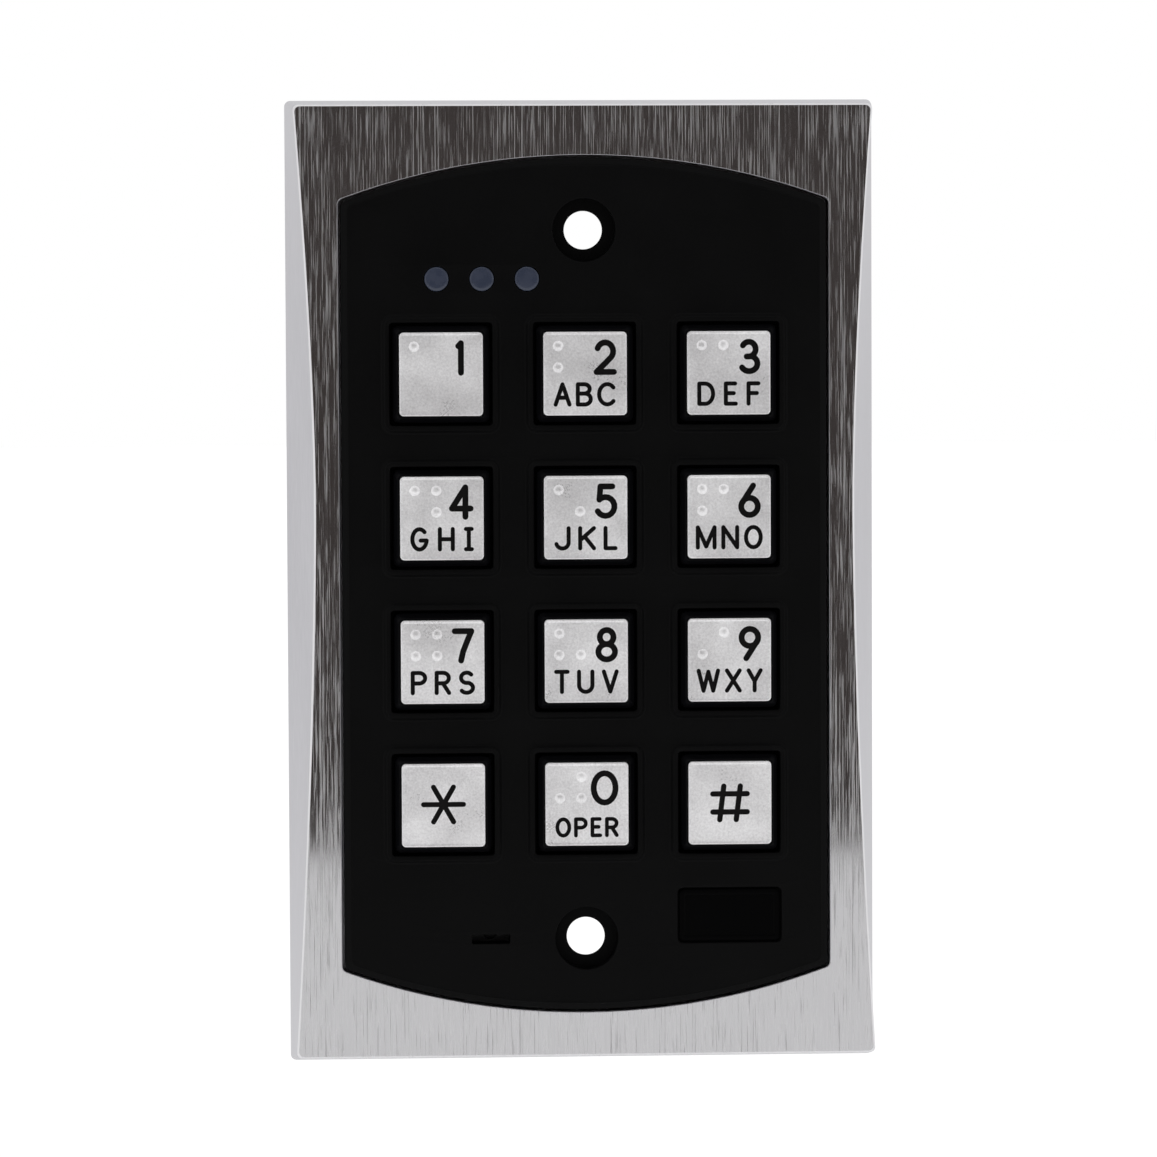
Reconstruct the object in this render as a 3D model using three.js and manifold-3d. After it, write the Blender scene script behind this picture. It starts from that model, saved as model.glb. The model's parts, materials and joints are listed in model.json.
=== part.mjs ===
// Keypad access reader for a single-gang wall box.
// Millimetres. X points right, Z points up and the front faces -Y. The wall plane is y = 0 and the origin
// is at its centre. Everything in front of the wall has a negative y; the rear housing sits inside the box.

import * as THREE from 'three';
import { mergeVertices } from 'three/addons/utils/BufferGeometryUtils.js';
import Module from 'manifold-3d';

const wasm = await Module();
wasm.setup();

// ---------------------------------------------------------------- driving dimensions

const FIT = 0.05; // gap left between two parts that touch
const OVERCUT = 1; // how far a cutter runs past the face that it opens

const PLATE = { width: 69.85, height: 114.3, corner: 1, depth: 10 };
const WAIST = { z: 10, inset: 3.2 }; // where the front edge stands furthest in from the side
const CORNER_INSET = { top: 0.9, bottom: 0.7 }; // the same at the top and bottom corners
const SIDE_CURVE = 1.6; // power that the side follows from the waist to a corner
const END_INSET = { top: 0.75, bottom: 1.5 }; // how far the front edge stands in from each end
const SIDE_STEPS = 16; // straight stretches that follow one curved side

const FACE = { width: 57, peak: 50.15, sagitta: 5.1, corner: 0.8, proud: 0.3, thickness: 3 };
const CUTOUT_CLEARANCE = 0.3;
const LEDGE = { width: 3, front: -6.5, back: -4.5 };
const HOLLOW = { width: 62, height: 104, corner: 2 };
const GROOVE = { halfWidth: 33, halfHeight: 54.4, width: 2, depth: 1.2 };

const MOUNT_SPACING = 83.34; // 3 9/32 in between the box's two screws
const MOUNT_HOLE = { radius: 2.25, counterRadius: 3.7, counterDepth: 2.3, webThickness: 0.9 };
const POST = { radius: 4.7, boreRadius: 3.3 };
const POST_CLEARANCE = 0.4;

const KEY_PITCH = 16.86;
const KEY_BLOCK_Z = -0.4; // middle of the four rows
const KEY_APERTURE = 12;
const KEY_FRAME = { size: 13.4, height: 0.5, corner: 0.7 };
const KEY = { size: 11.4, shoulder: 10.2, bevel: 0.8, corner: 0.5, flange: 13.4, flangeThickness: 0.8 };
const CAP = { size: 9.8, corner: 0.45, front: -11.8, thickness: 0.55, stem: 3, stemLength: 1.5 };
const STEM_CLEARANCE = 0.15;
const KEY_ROWS = [
  ['1', '2', '3'],
  ['4', '5', '6'],
  ['7', '8', '9'],
  ['star', '0', 'hash'],
];

const MAT = { width: 47.2, height: 65, thickness: 0.8, domeRadius: 4.2, domeTop: 3, domeHeight: 1.9 };
const BOARD = { front: -3.6, thickness: 1.6, inset: 4.1 };
const BACKPLATE = { thickness: 0.8, inset: 4.9 };

const INDICATOR = { z: 36, x: [-17.3, -12, -6.7], radius: 1.5, flange: 2.1 };
const INDICATOR_NAMES = ['left', 'middle', 'right'];
const SOUND_SLOT = { x: -11.3, z: -41.7, width: 4.5, height: 1.1 };
const SOUNDER = { radius: 4.25, height: 3.1, port: 0.9 };
const BADGE = { x: 16.9, z: -39.1, width: 12.3, height: 6.55, corner: 0.6, depth: 0.9, plate: 0.5 };

const FIXING = { x: 22, z: 35.4, standoff: 2.5, shank: 1.15, pilot: 1.25, clearance: 1.45, head: 2.2 };
const FIXING_HEAD_HEIGHT = 1.35;
const FIXING_TIP = -8;

const HOUSING = { width: 44, height: 62, wall: 1.8, back: 18, corner: 2 };
const FLANGE = { width: 48.8, height: 76.4, back: 0.6, corner: 2 };
const MAIN_BOARD = { width: 39.6, height: 57.6, front: 3, thickness: 1.6 };
const BOARD_REST = { x: 17.2, z: 26, radius: 2.2 };

const LINK = { z: -12, width: 12.8, height: 5, pins: 5, pitch: 2.54, pinSize: 0.64 };
const TERMINALS = { z: -17.5, width: 30.4, height: 10, back: 25, poles: 6, pitch: 5 };
const TERMINAL_SCREW = { radius: 1.85, height: 1.85, slot: 0.7, wellDepth: 2.6 };
const WIRE_ENTRY = { width: 3.4, height: 3, depth: 5, front: 18.6 };
const RELAY = { x: -9, z: 12, width: 15.4, height: 19.6, depth: 10.5 };
const CAPACITOR = { x: 10, z: 16, radius: 4, depth: 11 };
const CHIP = { x: 0, z: 14, size: 10, height: 1.65 };

// planes worked out from the dimensions above
const frontY = -PLATE.depth;
const faceFrontY = frontY - FACE.proud;
const faceBackY = faceFrontY + FACE.thickness;
const boardBackY = BOARD.front + BOARD.thickness;
const backplateBackY = boardBackY + FIT + BACKPLATE.thickness;
const mainBoardBackY = MAIN_BOARD.front + MAIN_BOARD.thickness;
const mountZ = MOUNT_SPACING / 2;

// ---------------------------------------------------------------- shapes, all drawn in X and Z

function rectangle(width, height, corner, x = 0, z = 0) {
  const shape = new THREE.Shape();
  const right = width / 2;
  const top = height / 2;
  const quarter = Math.PI / 2;
  shape.absarc(x + right - corner, z + top - corner, corner, 0, quarter);
  shape.absarc(x - right + corner, z + top - corner, corner, quarter, 2 * quarter);
  shape.absarc(x - right + corner, z - top + corner, corner, 2 * quarter, 3 * quarter);
  shape.absarc(x + right - corner, z - top + corner, corner, 3 * quarter, 4 * quarter);
  shape.closePath();
  return shape;
}

// The plate's outline with its long sides cut into steps, so that they can follow a curve.
function steppedPlate() {
  const outline = rectangle(PLATE.width, PLATE.height, PLATE.corner).extractPoints(3).shape;
  const points = [];
  outline.forEach((point, index) => {
    const next = outline[(index + 1) % outline.length];
    points.push(point);
    if (Math.abs(next.y - point.y) > PLATE.height / 2) {
      for (let step = 1; step < SIDE_STEPS; step += 1) {
        points.push(point.clone().lerp(next, step / SIDE_STEPS));
      }
    }
  });
  return new THREE.Shape(points);
}

// The faceplate's outline, moved inwards by inset: straight sides and a shallow arc across each end.
function faceOutline(inset) {
  const halfWidth = FACE.width / 2;
  const radius = (halfWidth ** 2 + FACE.sagitta ** 2) / (2 * FACE.sagitta);
  const centre = FACE.peak - radius;
  const arcRadius = radius - inset;
  const x = halfWidth - inset;
  const cornerZ = centre + Math.sqrt(arcRadius ** 2 - x ** 2);
  const from = Math.acos(x / arcRadius) + FACE.corner / arcRadius;
  const to = Math.PI - from;
  const sideZ = cornerZ - FACE.corner;
  const arcX = arcRadius * Math.cos(from);
  const arcZ = centre + arcRadius * Math.sin(from);
  const shape = new THREE.Shape();
  shape.moveTo(x, -sideZ);
  shape.lineTo(x, sideZ);
  shape.quadraticCurveTo(x, cornerZ, arcX, arcZ);
  shape.absarc(0, centre, arcRadius, from, to);
  shape.quadraticCurveTo(-x, cornerZ, -x, sideZ);
  shape.lineTo(-x, -sideZ);
  shape.quadraticCurveTo(-x, -cornerZ, -arcX, -arcZ);
  shape.absarc(0, -centre, arcRadius, Math.PI + from, Math.PI + to);
  shape.quadraticCurveTo(x, -cornerZ, x, -sideZ);
  return shape;
}

// ---------------------------------------------------------------- solids

// A shape extruded from backY forward to frontY. curveSegments sets how finely its arcs are cut.
function slab(shape, front, back, options = {}) {
  const settings = { depth: back - front, bevelEnabled: false, curveSegments: 1, ...options };
  return new THREE.ExtrudeGeometry(shape, settings).rotateX(Math.PI / 2).translate(0, back, 0);
}

function block(width, height, front, back, x = 0, z = 0) {
  return new THREE.BoxGeometry(width, back - front, height).translate(x, (front + back) / 2, z);
}

function rod(radius, front, back, x = 0, z = 0, sides = 20, frontRadius = radius) {
  const cylinder = new THREE.CylinderGeometry(radius, frontRadius, back - front, sides);
  return cylinder.translate(x, (front + back) / 2, z);
}

// A turned part along Y. profile holds [radius, y] pairs and starts and ends on the axis.
function turned(profile, x, z, sides = 16) {
  const points = profile.map(([radius, y]) => new THREE.Vector2(radius, y));
  return new THREE.LatheGeometry(points, sides).translate(x, 0, z);
}

function toSolid(geometry) {
  const bare = geometry.clone();
  bare.deleteAttribute('normal');
  bare.deleteAttribute('uv');
  const merged = mergeVertices(bare, 1e-4);
  const vertProperties = new Float32Array(merged.attributes.position.array);
  const triVerts = new Uint32Array(merged.index.array);
  return new wasm.Manifold(new wasm.Mesh({ numProp: 3, vertProperties, triVerts }));
}

function toGeometry(solid) {
  const mesh = solid.getMesh();
  const geometry = new THREE.BufferGeometry();
  geometry.setAttribute('position', new THREE.BufferAttribute(mesh.vertProperties, 3));
  geometry.setIndex(new THREE.BufferAttribute(mesh.triVerts, 1));
  geometry.computeVertexNormals();
  return geometry;
}

function shaped(base, { added = [], cut = [] }) {
  let solid = toSolid(base);
  for (const geometry of added) {
    solid = solid.add(toSolid(geometry));
  }
  for (const geometry of cut) {
    solid = solid.subtract(toSolid(geometry));
  }
  return toGeometry(solid);
}

// ---------------------------------------------------------------- repeated places

const mountPoints = [mountZ, -mountZ];
const fixingPoints = [
  [-FIXING.x, FIXING.z],
  [FIXING.x, FIXING.z],
  [-FIXING.x, -FIXING.z],
  [FIXING.x, -FIXING.z],
];
const keys = KEY_ROWS.flatMap((row, rowIndex) =>
  row.map((label, columnIndex) => ({
    label,
    x: (columnIndex - 1) * KEY_PITCH,
    z: KEY_BLOCK_Z + (1.5 - rowIndex) * KEY_PITCH,
  })),
);

function postClearances(front, back, extra = 0) {
  const radius = POST.radius + POST_CLEARANCE + extra;
  return mountPoints.map((z) => rod(radius, front, back, 0, z, 24));
}

function fixingClearances(front, back) {
  return fixingPoints.map(([x, z]) => rod(FIXING.clearance, front, back, x, z, 16));
}

// ---------------------------------------------------------------- finishes

function finish(color, roughness, metalness) {
  return new THREE.MeshStandardMaterial({ color, roughness, metalness });
}

const brushedMetal = finish(0x9a9a9c, 0.35, 1);
const capMetal = finish(0xd2d2d4, 0.4, 0.9);
const blackPlastic = finish(0x111112, 0.6, 0);
const keyPlastic = finish(0x0b0b0c, 0.5, 0);
const smokedLens = finish(0x353a48, 0.25, 0);
const silicone = finish(0x4a4c50, 0.8, 0);
const gasketRubber = finish(0x1b1b1c, 0.9, 0);
const circuitBoard = finish(0x1f5a38, 0.5, 0);
const galvanised = finish(0xa8abae, 0.45, 1);
const housingPlastic = finish(0x1d1e20, 0.6, 0);
const componentPlastic = finish(0x161617, 0.5, 0);
const terminalPlastic = finish(0x2f7d4b, 0.5, 0);
const ledResin = finish(0xc8d4d0, 0.2, 0);
const platedSteel = finish(0xb9bbbd, 0.35, 1);

const reader = new THREE.Group();

function place(name, geometry, material) {
  const mesh = new THREE.Mesh(geometry, material);
  mesh.name = name;
  reader.add(mesh);
}

// ---------------------------------------------------------------- bezel

// How far a side's front edge stands in at height z: most at the waist, least at the corners.
function sideInset(z) {
  const corner = z > WAIST.z ? CORNER_INSET.top : CORNER_INSET.bottom;
  const span = PLATE.height / 2 - Math.sign(z - WAIST.z) * WAIST.z;
  return WAIST.inset - (WAIST.inset - corner) * (Math.abs(z - WAIST.z) / span) ** SIDE_CURVE;
}

// The bezel's sides and ends lean in towards the front.
function taperToFront(geometry) {
  const position = geometry.attributes.position;
  const halfWidth = PLATE.width / 2;
  const halfHeight = PLATE.height / 2;
  for (let index = 0; index < position.count; index += 1) {
    const z = position.getZ(index);
    if (position.getY(index) > frontY / 2) {
      continue;
    }
    const endInset = z > 0 ? END_INSET.top : END_INSET.bottom;
    position.setX(index, position.getX(index) * (1 - sideInset(z) / halfWidth));
    position.setZ(index, z * (1 - endInset / halfHeight));
  }
  return geometry;
}

function bezel() {
  const body = taperToFront(slab(steppedPlate(), frontY, 0));
  const grooveOuter = rectangle(
    2 * GROOVE.halfWidth + GROOVE.width,
    2 * GROOVE.halfHeight + GROOVE.width,
    HOLLOW.corner,
  );
  grooveOuter.holes.push(
    rectangle(2 * GROOVE.halfWidth - GROOVE.width, 2 * GROOVE.halfHeight - GROOVE.width, HOLLOW.corner),
  );
  return shaped(body, {
    cut: [
      slab(faceOutline(-CUTOUT_CLEARANCE), frontY - OVERCUT, LEDGE.front, { curveSegments: 6 }),
      slab(faceOutline(LEDGE.width), frontY, OVERCUT, { curveSegments: 6 }),
      slab(rectangle(HOLLOW.width, HOLLOW.height, HOLLOW.corner), LEDGE.back, OVERCUT),
      slab(grooveOuter, -GROOVE.depth, OVERCUT),
    ],
  });
}

function wallGasket() {
  const width = GROOVE.width - 4 * FIT;
  const outline = rectangle(
    2 * GROOVE.halfWidth + width,
    2 * GROOVE.halfHeight + width,
    HOLLOW.corner,
  );
  outline.holes.push(
    rectangle(2 * GROOVE.halfWidth - width, 2 * GROOVE.halfHeight - width, HOLLOW.corner),
  );
  return slab(outline, -GROOVE.depth + FIT, 0);
}

place('bezel', bezel(), brushedMetal);
place('wall_gasket', wallGasket(), gasketRubber);

// ---------------------------------------------------------------- faceplate

function faceplate() {
  const added = [];
  const cut = [];
  for (const { x, z } of keys) {
    const frame = rectangle(KEY_FRAME.size, KEY_FRAME.size, KEY_FRAME.corner, x, z);
    added.push(slab(frame, faceFrontY - KEY_FRAME.height, faceFrontY + KEY_FRAME.height));
    cut.push(
      block(KEY_APERTURE, KEY_APERTURE, faceFrontY - OVERCUT, faceBackY + OVERCUT, x, z),
    );
  }
  for (const z of mountPoints) {
    const webFront = faceFrontY + MOUNT_HOLE.counterDepth;
    added.push(rod(POST.radius, faceBackY - OVERCUT, -2 * FIT, 0, z, 24));
    cut.push(rod(MOUNT_HOLE.radius, faceFrontY - OVERCUT, OVERCUT, 0, z, 24));
    cut.push(rod(MOUNT_HOLE.counterRadius, faceFrontY - OVERCUT, webFront, 0, z, 24));
    cut.push(rod(POST.boreRadius, webFront + MOUNT_HOLE.webThickness, OVERCUT, 0, z, 24));
  }
  for (const [x, z] of fixingPoints) {
    added.push(rod(FIXING.standoff, faceBackY - OVERCUT, BOARD.front - FIT, x, z));
    cut.push(rod(FIXING.pilot, FIXING_TIP - 2 * FIT, OVERCUT, x, z, 16));
  }
  for (const x of INDICATOR.x) {
    cut.push(rod(INDICATOR.radius, faceFrontY - OVERCUT, faceBackY + OVERCUT, x, INDICATOR.z));
  }
  const { x: slotX, z: slotZ, width, height } = SOUND_SLOT;
  cut.push(block(width, height, faceFrontY - OVERCUT, faceBackY + OVERCUT, slotX, slotZ));
  const badge = rectangle(BADGE.width, BADGE.height, BADGE.corner, BADGE.x, BADGE.z);
  cut.push(slab(badge, faceFrontY - OVERCUT, faceFrontY + BADGE.depth));
  return shaped(slab(faceOutline(0), faceFrontY, faceBackY, { curveSegments: 6 }), { added, cut });
}

function faceSeal() {
  const outline = faceOutline(2 * CUTOUT_CLEARANCE);
  outline.holes.push(faceOutline(LEDGE.width - 2 * CUTOUT_CLEARANCE));
  return slab(outline, faceBackY + FIT, LEDGE.front - FIT, { curveSegments: 6 });
}

function labelPlate() {
  const back = faceFrontY + BADGE.depth - FIT;
  const width = BADGE.width - 8 * FIT;
  const height = BADGE.height - 8 * FIT;
  const outline = rectangle(width, height, BADGE.corner, BADGE.x, BADGE.z);
  return slab(outline, back - BADGE.plate, back);
}

place('faceplate', faceplate(), blackPlastic);
place('face_seal', faceSeal(), gasketRubber);
place('label_plate', labelPlate(), blackPlastic);

// ---------------------------------------------------------------- keys

const flangeFrontY = faceBackY + 2 * FIT;
const flangeBackY = flangeFrontY + KEY.flangeThickness;
const capBackY = CAP.front + CAP.thickness;
const keyTopY = capBackY + FIT;

function keyBody(x, z) {
  const outline = rectangle(KEY.size, KEY.size, KEY.corner, x, z);
  const bevelSize = (KEY.size - KEY.shoulder) / 2;
  const bevelStart = keyTopY + KEY.bevel;
  const column = slab(outline, bevelStart, flangeFrontY);
  const shoulder = new THREE.CylinderGeometry(
    KEY.size * Math.SQRT1_2,
    (KEY.size - 2 * bevelSize) * Math.SQRT1_2,
    KEY.bevel,
    4,
  );
  shoulder.rotateY(Math.PI / 4).translate(x, keyTopY + KEY.bevel / 2, z);
  const rounded = slab(outline, keyTopY - OVERCUT, bevelStart + OVERCUT);
  const bevelled = toGeometry(toSolid(shoulder).intersect(toSolid(rounded)));
  const stemHole = CAP.stem + 2 * STEM_CLEARANCE;
  return shaped(column, {
    added: [
      bevelled,
      block(KEY.flange, KEY.flange, flangeFrontY, flangeBackY, x, z),
    ],
    cut: [
      block(stemHole, stemHole, keyTopY - OVERCUT, capBackY + CAP.stemLength + 2 * STEM_CLEARANCE, x, z),
    ],
  });
}

function keyCap(x, z) {
  const outline = rectangle(CAP.size, CAP.size, CAP.corner, x, z);
  const stem = block(CAP.stem, CAP.stem, CAP.front + CAP.thickness / 2, capBackY + CAP.stemLength, x, z);
  return shaped(slab(outline, CAP.front, capBackY), { added: [stem] });
}

for (const { label, x, z } of keys) {
  place(`key_${label}_body`, keyBody(x, z), keyPlastic);
  place(`key_${label}_cap`, keyCap(x, z), capMetal);
}

// ---------------------------------------------------------------- keypad mat, board and backplate

function keypadMat() {
  const back = BOARD.front - FIT;
  const sheetFront = back - MAT.thickness;
  const sheet = slab(rectangle(MAT.width, MAT.height, KEY.corner), sheetFront, back);
  const domes = keys.map(({ x, z }) =>
    rod(MAT.domeRadius, sheetFront - MAT.domeHeight, sheetFront + MAT.thickness / 2, x, z, 16, MAT.domeTop),
  );
  return shaped(sheet, { added: domes });
}

function keypadBoard() {
  const cutFront = BOARD.front - OVERCUT;
  const cutBack = boardBackY + OVERCUT;
  return shaped(slab(faceOutline(BOARD.inset), BOARD.front, boardBackY, { curveSegments: 6 }), {
    cut: [...postClearances(cutFront, cutBack), ...fixingClearances(cutFront, cutBack)],
  });
}

function keypadBackplate() {
  const front = boardBackY + FIT;
  const cutFront = front - OVERCUT;
  const cutBack = backplateBackY + OVERCUT;
  const linkWindow = block(LINK.width + 1, LINK.height + 1, cutFront, cutBack, 0, LINK.z);
  return shaped(slab(faceOutline(BACKPLATE.inset), front, backplateBackY, { curveSegments: 6 }), {
    cut: [
      ...postClearances(cutFront, cutBack, POST_CLEARANCE),
      ...fixingClearances(cutFront, cutBack),
      linkWindow,
    ],
  });
}

place('keypad_mat', keypadMat(), silicone);
place('keypad_board', keypadBoard(), circuitBoard);
place('keypad_backplate', keypadBackplate(), galvanised);

// ---------------------------------------------------------------- indicators and sounder

function indicatorLens(x) {
  const { radius, flange, z } = INDICATOR;
  const stemRadius = radius - FIT;
  const front = faceFrontY + FIT;
  return turned(
    [
      [0, front],
      [stemRadius, front],
      [stemRadius, faceBackY + FIT],
      [flange, faceBackY + FIT],
      [flange, faceBackY + FIT + 0.6],
      [0, faceBackY + FIT + 0.6],
    ],
    x,
    z,
  );
}

// A 3 mm resin lamp: a flange on the board, a straight body and a domed tip.
function indicatorLamp(x) {
  const base = BOARD.front - FIT;
  const radius = 1.45;
  const tip = faceBackY + 0.8;
  const profile = [[0, tip]];
  for (let step = 1; step <= 4; step += 1) {
    const angle = (step / 4) * (Math.PI / 2);
    profile.push([radius * Math.sin(angle), tip + radius * (1 - Math.cos(angle))]);
  }
  profile.push([radius, base - 0.8], [radius + 0.3, base - 0.8], [radius + 0.3, base], [0, base]);
  return turned(profile, x, INDICATOR.z);
}

function sounder() {
  const back = BOARD.front - FIT;
  const front = back - SOUNDER.height;
  return turned(
    [
      [0, front + 1],
      [SOUNDER.port, front + 1],
      [SOUNDER.port, front],
      [SOUNDER.radius - 0.3, front],
      [SOUNDER.radius, front + 0.3],
      [SOUNDER.radius, back],
      [0, back],
    ],
    SOUND_SLOT.x,
    SOUND_SLOT.z + 0.5,
    24,
  );
}

INDICATOR.x.forEach((x, index) => {
  place(`indicator_lens_${INDICATOR_NAMES[index]}`, indicatorLens(x), smokedLens);
  place(`indicator_led_${INDICATOR_NAMES[index]}`, indicatorLamp(x), ledResin);
});
place('sounder', sounder(), componentPlastic);

// ---------------------------------------------------------------- rear housing and its fixings

function rearHousing() {
  const front = backplateBackY + FIT;
  const inside = HOUSING.back - HOUSING.wall;
  const flangeShape = rectangle(FLANGE.width, FLANGE.height, FLANGE.corner);
  const tub = slab(rectangle(HOUSING.width, HOUSING.height, HOUSING.corner), front, HOUSING.back);
  const cavity = rectangle(
    HOUSING.width - 2 * HOUSING.wall,
    HOUSING.height - 2 * HOUSING.wall,
    HOUSING.corner - 1,
  );
  const hollowed = shaped(tub, {
    added: [slab(flangeShape, front, FLANGE.back)],
    cut: [
      slab(cavity, front - OVERCUT, inside),
      ...postClearances(front - OVERCUT, FLANGE.back + OVERCUT, POST_CLEARANCE),
      ...fixingClearances(front - OVERCUT, FLANGE.back + OVERCUT),
    ],
  });
  const rests = [];
  for (const x of [-BOARD_REST.x, BOARD_REST.x]) {
    for (const z of [-BOARD_REST.z, BOARD_REST.z]) {
      rests.push(rod(BOARD_REST.radius, mainBoardBackY + FIT, inside + HOUSING.wall / 2, x, z, 16));
    }
  }
  const terminalOpening = block(
    TERMINALS.width + 0.6,
    TERMINALS.height + 0.6,
    inside - OVERCUT,
    HOUSING.back + OVERCUT,
    0,
    TERMINALS.z,
  );
  return shaped(hollowed, { added: rests, cut: [terminalOpening] });
}

function fixingScrew(x, z) {
  const headFront = FLANGE.back + FIT;
  const headBack = headFront + FIXING_HEAD_HEIGHT;
  return turned(
    [
      [0, FIXING_TIP],
      [FIXING.shank - 0.3, FIXING_TIP],
      [FIXING.shank, FIXING_TIP + 0.5],
      [FIXING.shank, headFront],
      [FIXING.head, headFront],
      [FIXING.head, headFront + 0.6],
      [FIXING.head * 0.75, headBack],
      [0, headBack],
    ],
    x,
    z,
    16,
  );
}

place('rear_housing', rearHousing(), housingPlastic);
fixingPoints.forEach(([x, z], index) => {
  place(`housing_screw_${index + 1}`, fixingScrew(x, z), platedSteel);
});

// ---------------------------------------------------------------- main board and what it carries

function linkHeader() {
  const front = boardBackY + FIT;
  const baseBack = 0.3;
  const pinBack = 2.2;
  const pins = [];
  for (let column = 0; column < LINK.pins; column += 1) {
    const x = (column - (LINK.pins - 1) / 2) * LINK.pitch;
    for (const z of [LINK.z - LINK.pitch / 2, LINK.z + LINK.pitch / 2]) {
      pins.push(block(LINK.pinSize, LINK.pinSize, baseBack - 1, pinBack, x, z));
    }
  }
  return shaped(block(LINK.width, LINK.height, front, baseBack, 0, LINK.z), { added: pins });
}

function linkSocket() {
  const front = 0.45;
  const back = MAIN_BOARD.front - FIT;
  const slots = [LINK.z - LINK.pitch / 2, LINK.z + LINK.pitch / 2].map((z) =>
    block(LINK.width - 1.4, 1.1, front - OVERCUT, back + OVERCUT, 0, z),
  );
  return shaped(block(LINK.width + 0.4, LINK.height + 0.4, front, back, 0, LINK.z), { cut: slots });
}

const terminalX = [...Array(TERMINALS.poles).keys()].map(
  (pole) => (pole - (TERMINALS.poles - 1) / 2) * TERMINALS.pitch,
);

function terminalBlock() {
  const { z, width, height, back } = TERMINALS;
  const bottom = z - height / 2;
  const cut = terminalX.flatMap((x) => [
    block(
      WIRE_ENTRY.width,
      2 * WIRE_ENTRY.depth,
      WIRE_ENTRY.front,
      WIRE_ENTRY.front + WIRE_ENTRY.height,
      x,
      bottom,
    ),
    rod(TERMINAL_SCREW.radius + 0.15, back - TERMINAL_SCREW.wellDepth, back + OVERCUT, x, z, 16),
  ]);
  return shaped(block(width, height, mainBoardBackY + FIT, back, 0, z), { cut });
}

function terminalScrew(x) {
  const front = TERMINALS.back - TERMINAL_SCREW.wellDepth + FIT;
  const back = front + TERMINAL_SCREW.height;
  const slotWidth = 2 * (TERMINAL_SCREW.radius + OVERCUT);
  return shaped(rod(TERMINAL_SCREW.radius, front, back, x, TERMINALS.z, 16), {
    cut: [block(slotWidth, TERMINAL_SCREW.slot, back - 0.8, back + OVERCUT, x, TERMINALS.z)],
  });
}

// An aluminium can with a rolled groove near its base.
function capacitor() {
  const front = mainBoardBackY + FIT;
  const { x, z, radius, depth } = CAPACITOR;
  return turned(
    [
      [0, front],
      [radius - 0.3, front],
      [radius, front + 0.3],
      [radius, front + 1.6],
      [radius - 0.35, front + 2],
      [radius, front + 2.4],
      [radius, front + depth - 0.4],
      [radius - 0.4, front + depth],
      [0, front + depth],
    ],
    x,
    z,
  );
}

const mainBoard = block(
  MAIN_BOARD.width,
  MAIN_BOARD.height,
  MAIN_BOARD.front,
  mainBoardBackY,
);
const relay = block(
  RELAY.width,
  RELAY.height,
  mainBoardBackY + FIT,
  mainBoardBackY + FIT + RELAY.depth,
  RELAY.x,
  RELAY.z,
);
const controllerChip = block(
  CHIP.size,
  CHIP.size,
  MAIN_BOARD.front - FIT - CHIP.height,
  MAIN_BOARD.front - FIT,
  CHIP.x,
  CHIP.z,
);

place('main_board', mainBoard, circuitBoard);
place('relay', relay, componentPlastic);
place('controller_chip', controllerChip, componentPlastic);
place('link_header', linkHeader(), componentPlastic);
place('link_socket', linkSocket(), componentPlastic);
place('capacitor', capacitor(), galvanised);
place('terminal_block', terminalBlock(), terminalPlastic);
terminalX.forEach((x, index) => {
  place(`terminal_screw_${index + 1}`, terminalScrew(x), platedSteel);
});

export default reader;
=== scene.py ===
"""Keypad access reader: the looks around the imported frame.

Shapes are drawn in millimetres in the frame's own axes (X right, Z up, front faces -Y) and turned into
metres when a mesh is made. Outlines run anticlockwise as seen from the front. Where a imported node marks
a piece's place, it is read from the frame.
"""

import json
import math

import bpy
from mathutils import Euler, Matrix, Vector
from mathutils.geometry import tessellate_polygon


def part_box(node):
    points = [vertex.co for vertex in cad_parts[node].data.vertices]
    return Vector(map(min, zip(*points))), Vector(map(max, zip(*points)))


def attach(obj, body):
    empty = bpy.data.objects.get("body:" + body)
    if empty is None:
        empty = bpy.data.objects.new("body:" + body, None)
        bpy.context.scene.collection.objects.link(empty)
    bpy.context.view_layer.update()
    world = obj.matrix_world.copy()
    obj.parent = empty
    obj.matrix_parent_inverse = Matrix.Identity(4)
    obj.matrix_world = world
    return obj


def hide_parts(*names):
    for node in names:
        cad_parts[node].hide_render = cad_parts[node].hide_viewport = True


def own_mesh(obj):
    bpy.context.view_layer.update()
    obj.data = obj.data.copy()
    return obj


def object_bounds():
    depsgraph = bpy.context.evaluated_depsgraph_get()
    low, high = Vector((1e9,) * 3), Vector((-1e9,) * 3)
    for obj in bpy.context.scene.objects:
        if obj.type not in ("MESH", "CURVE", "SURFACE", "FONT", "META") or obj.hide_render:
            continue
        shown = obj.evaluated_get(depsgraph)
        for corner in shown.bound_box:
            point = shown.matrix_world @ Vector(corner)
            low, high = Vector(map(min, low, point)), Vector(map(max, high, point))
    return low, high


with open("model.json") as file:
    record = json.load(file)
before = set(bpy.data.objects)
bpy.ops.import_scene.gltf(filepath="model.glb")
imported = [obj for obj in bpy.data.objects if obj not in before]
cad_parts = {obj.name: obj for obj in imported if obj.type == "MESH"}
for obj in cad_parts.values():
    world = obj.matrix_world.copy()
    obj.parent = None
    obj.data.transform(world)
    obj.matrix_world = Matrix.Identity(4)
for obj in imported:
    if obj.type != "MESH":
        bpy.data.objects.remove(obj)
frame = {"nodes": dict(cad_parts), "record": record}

cad_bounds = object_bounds()
MM = 0.001


def box_mm(node):
    """A node's lowest and highest corners, in millimetres."""
    low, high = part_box(node)
    return Vector(low) / MM, Vector(high) / MM


def centre_mm(node):
    low, high = box_mm(node)
    return (low + high) / 2


# ---------------------------------------------------------------- camera

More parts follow.
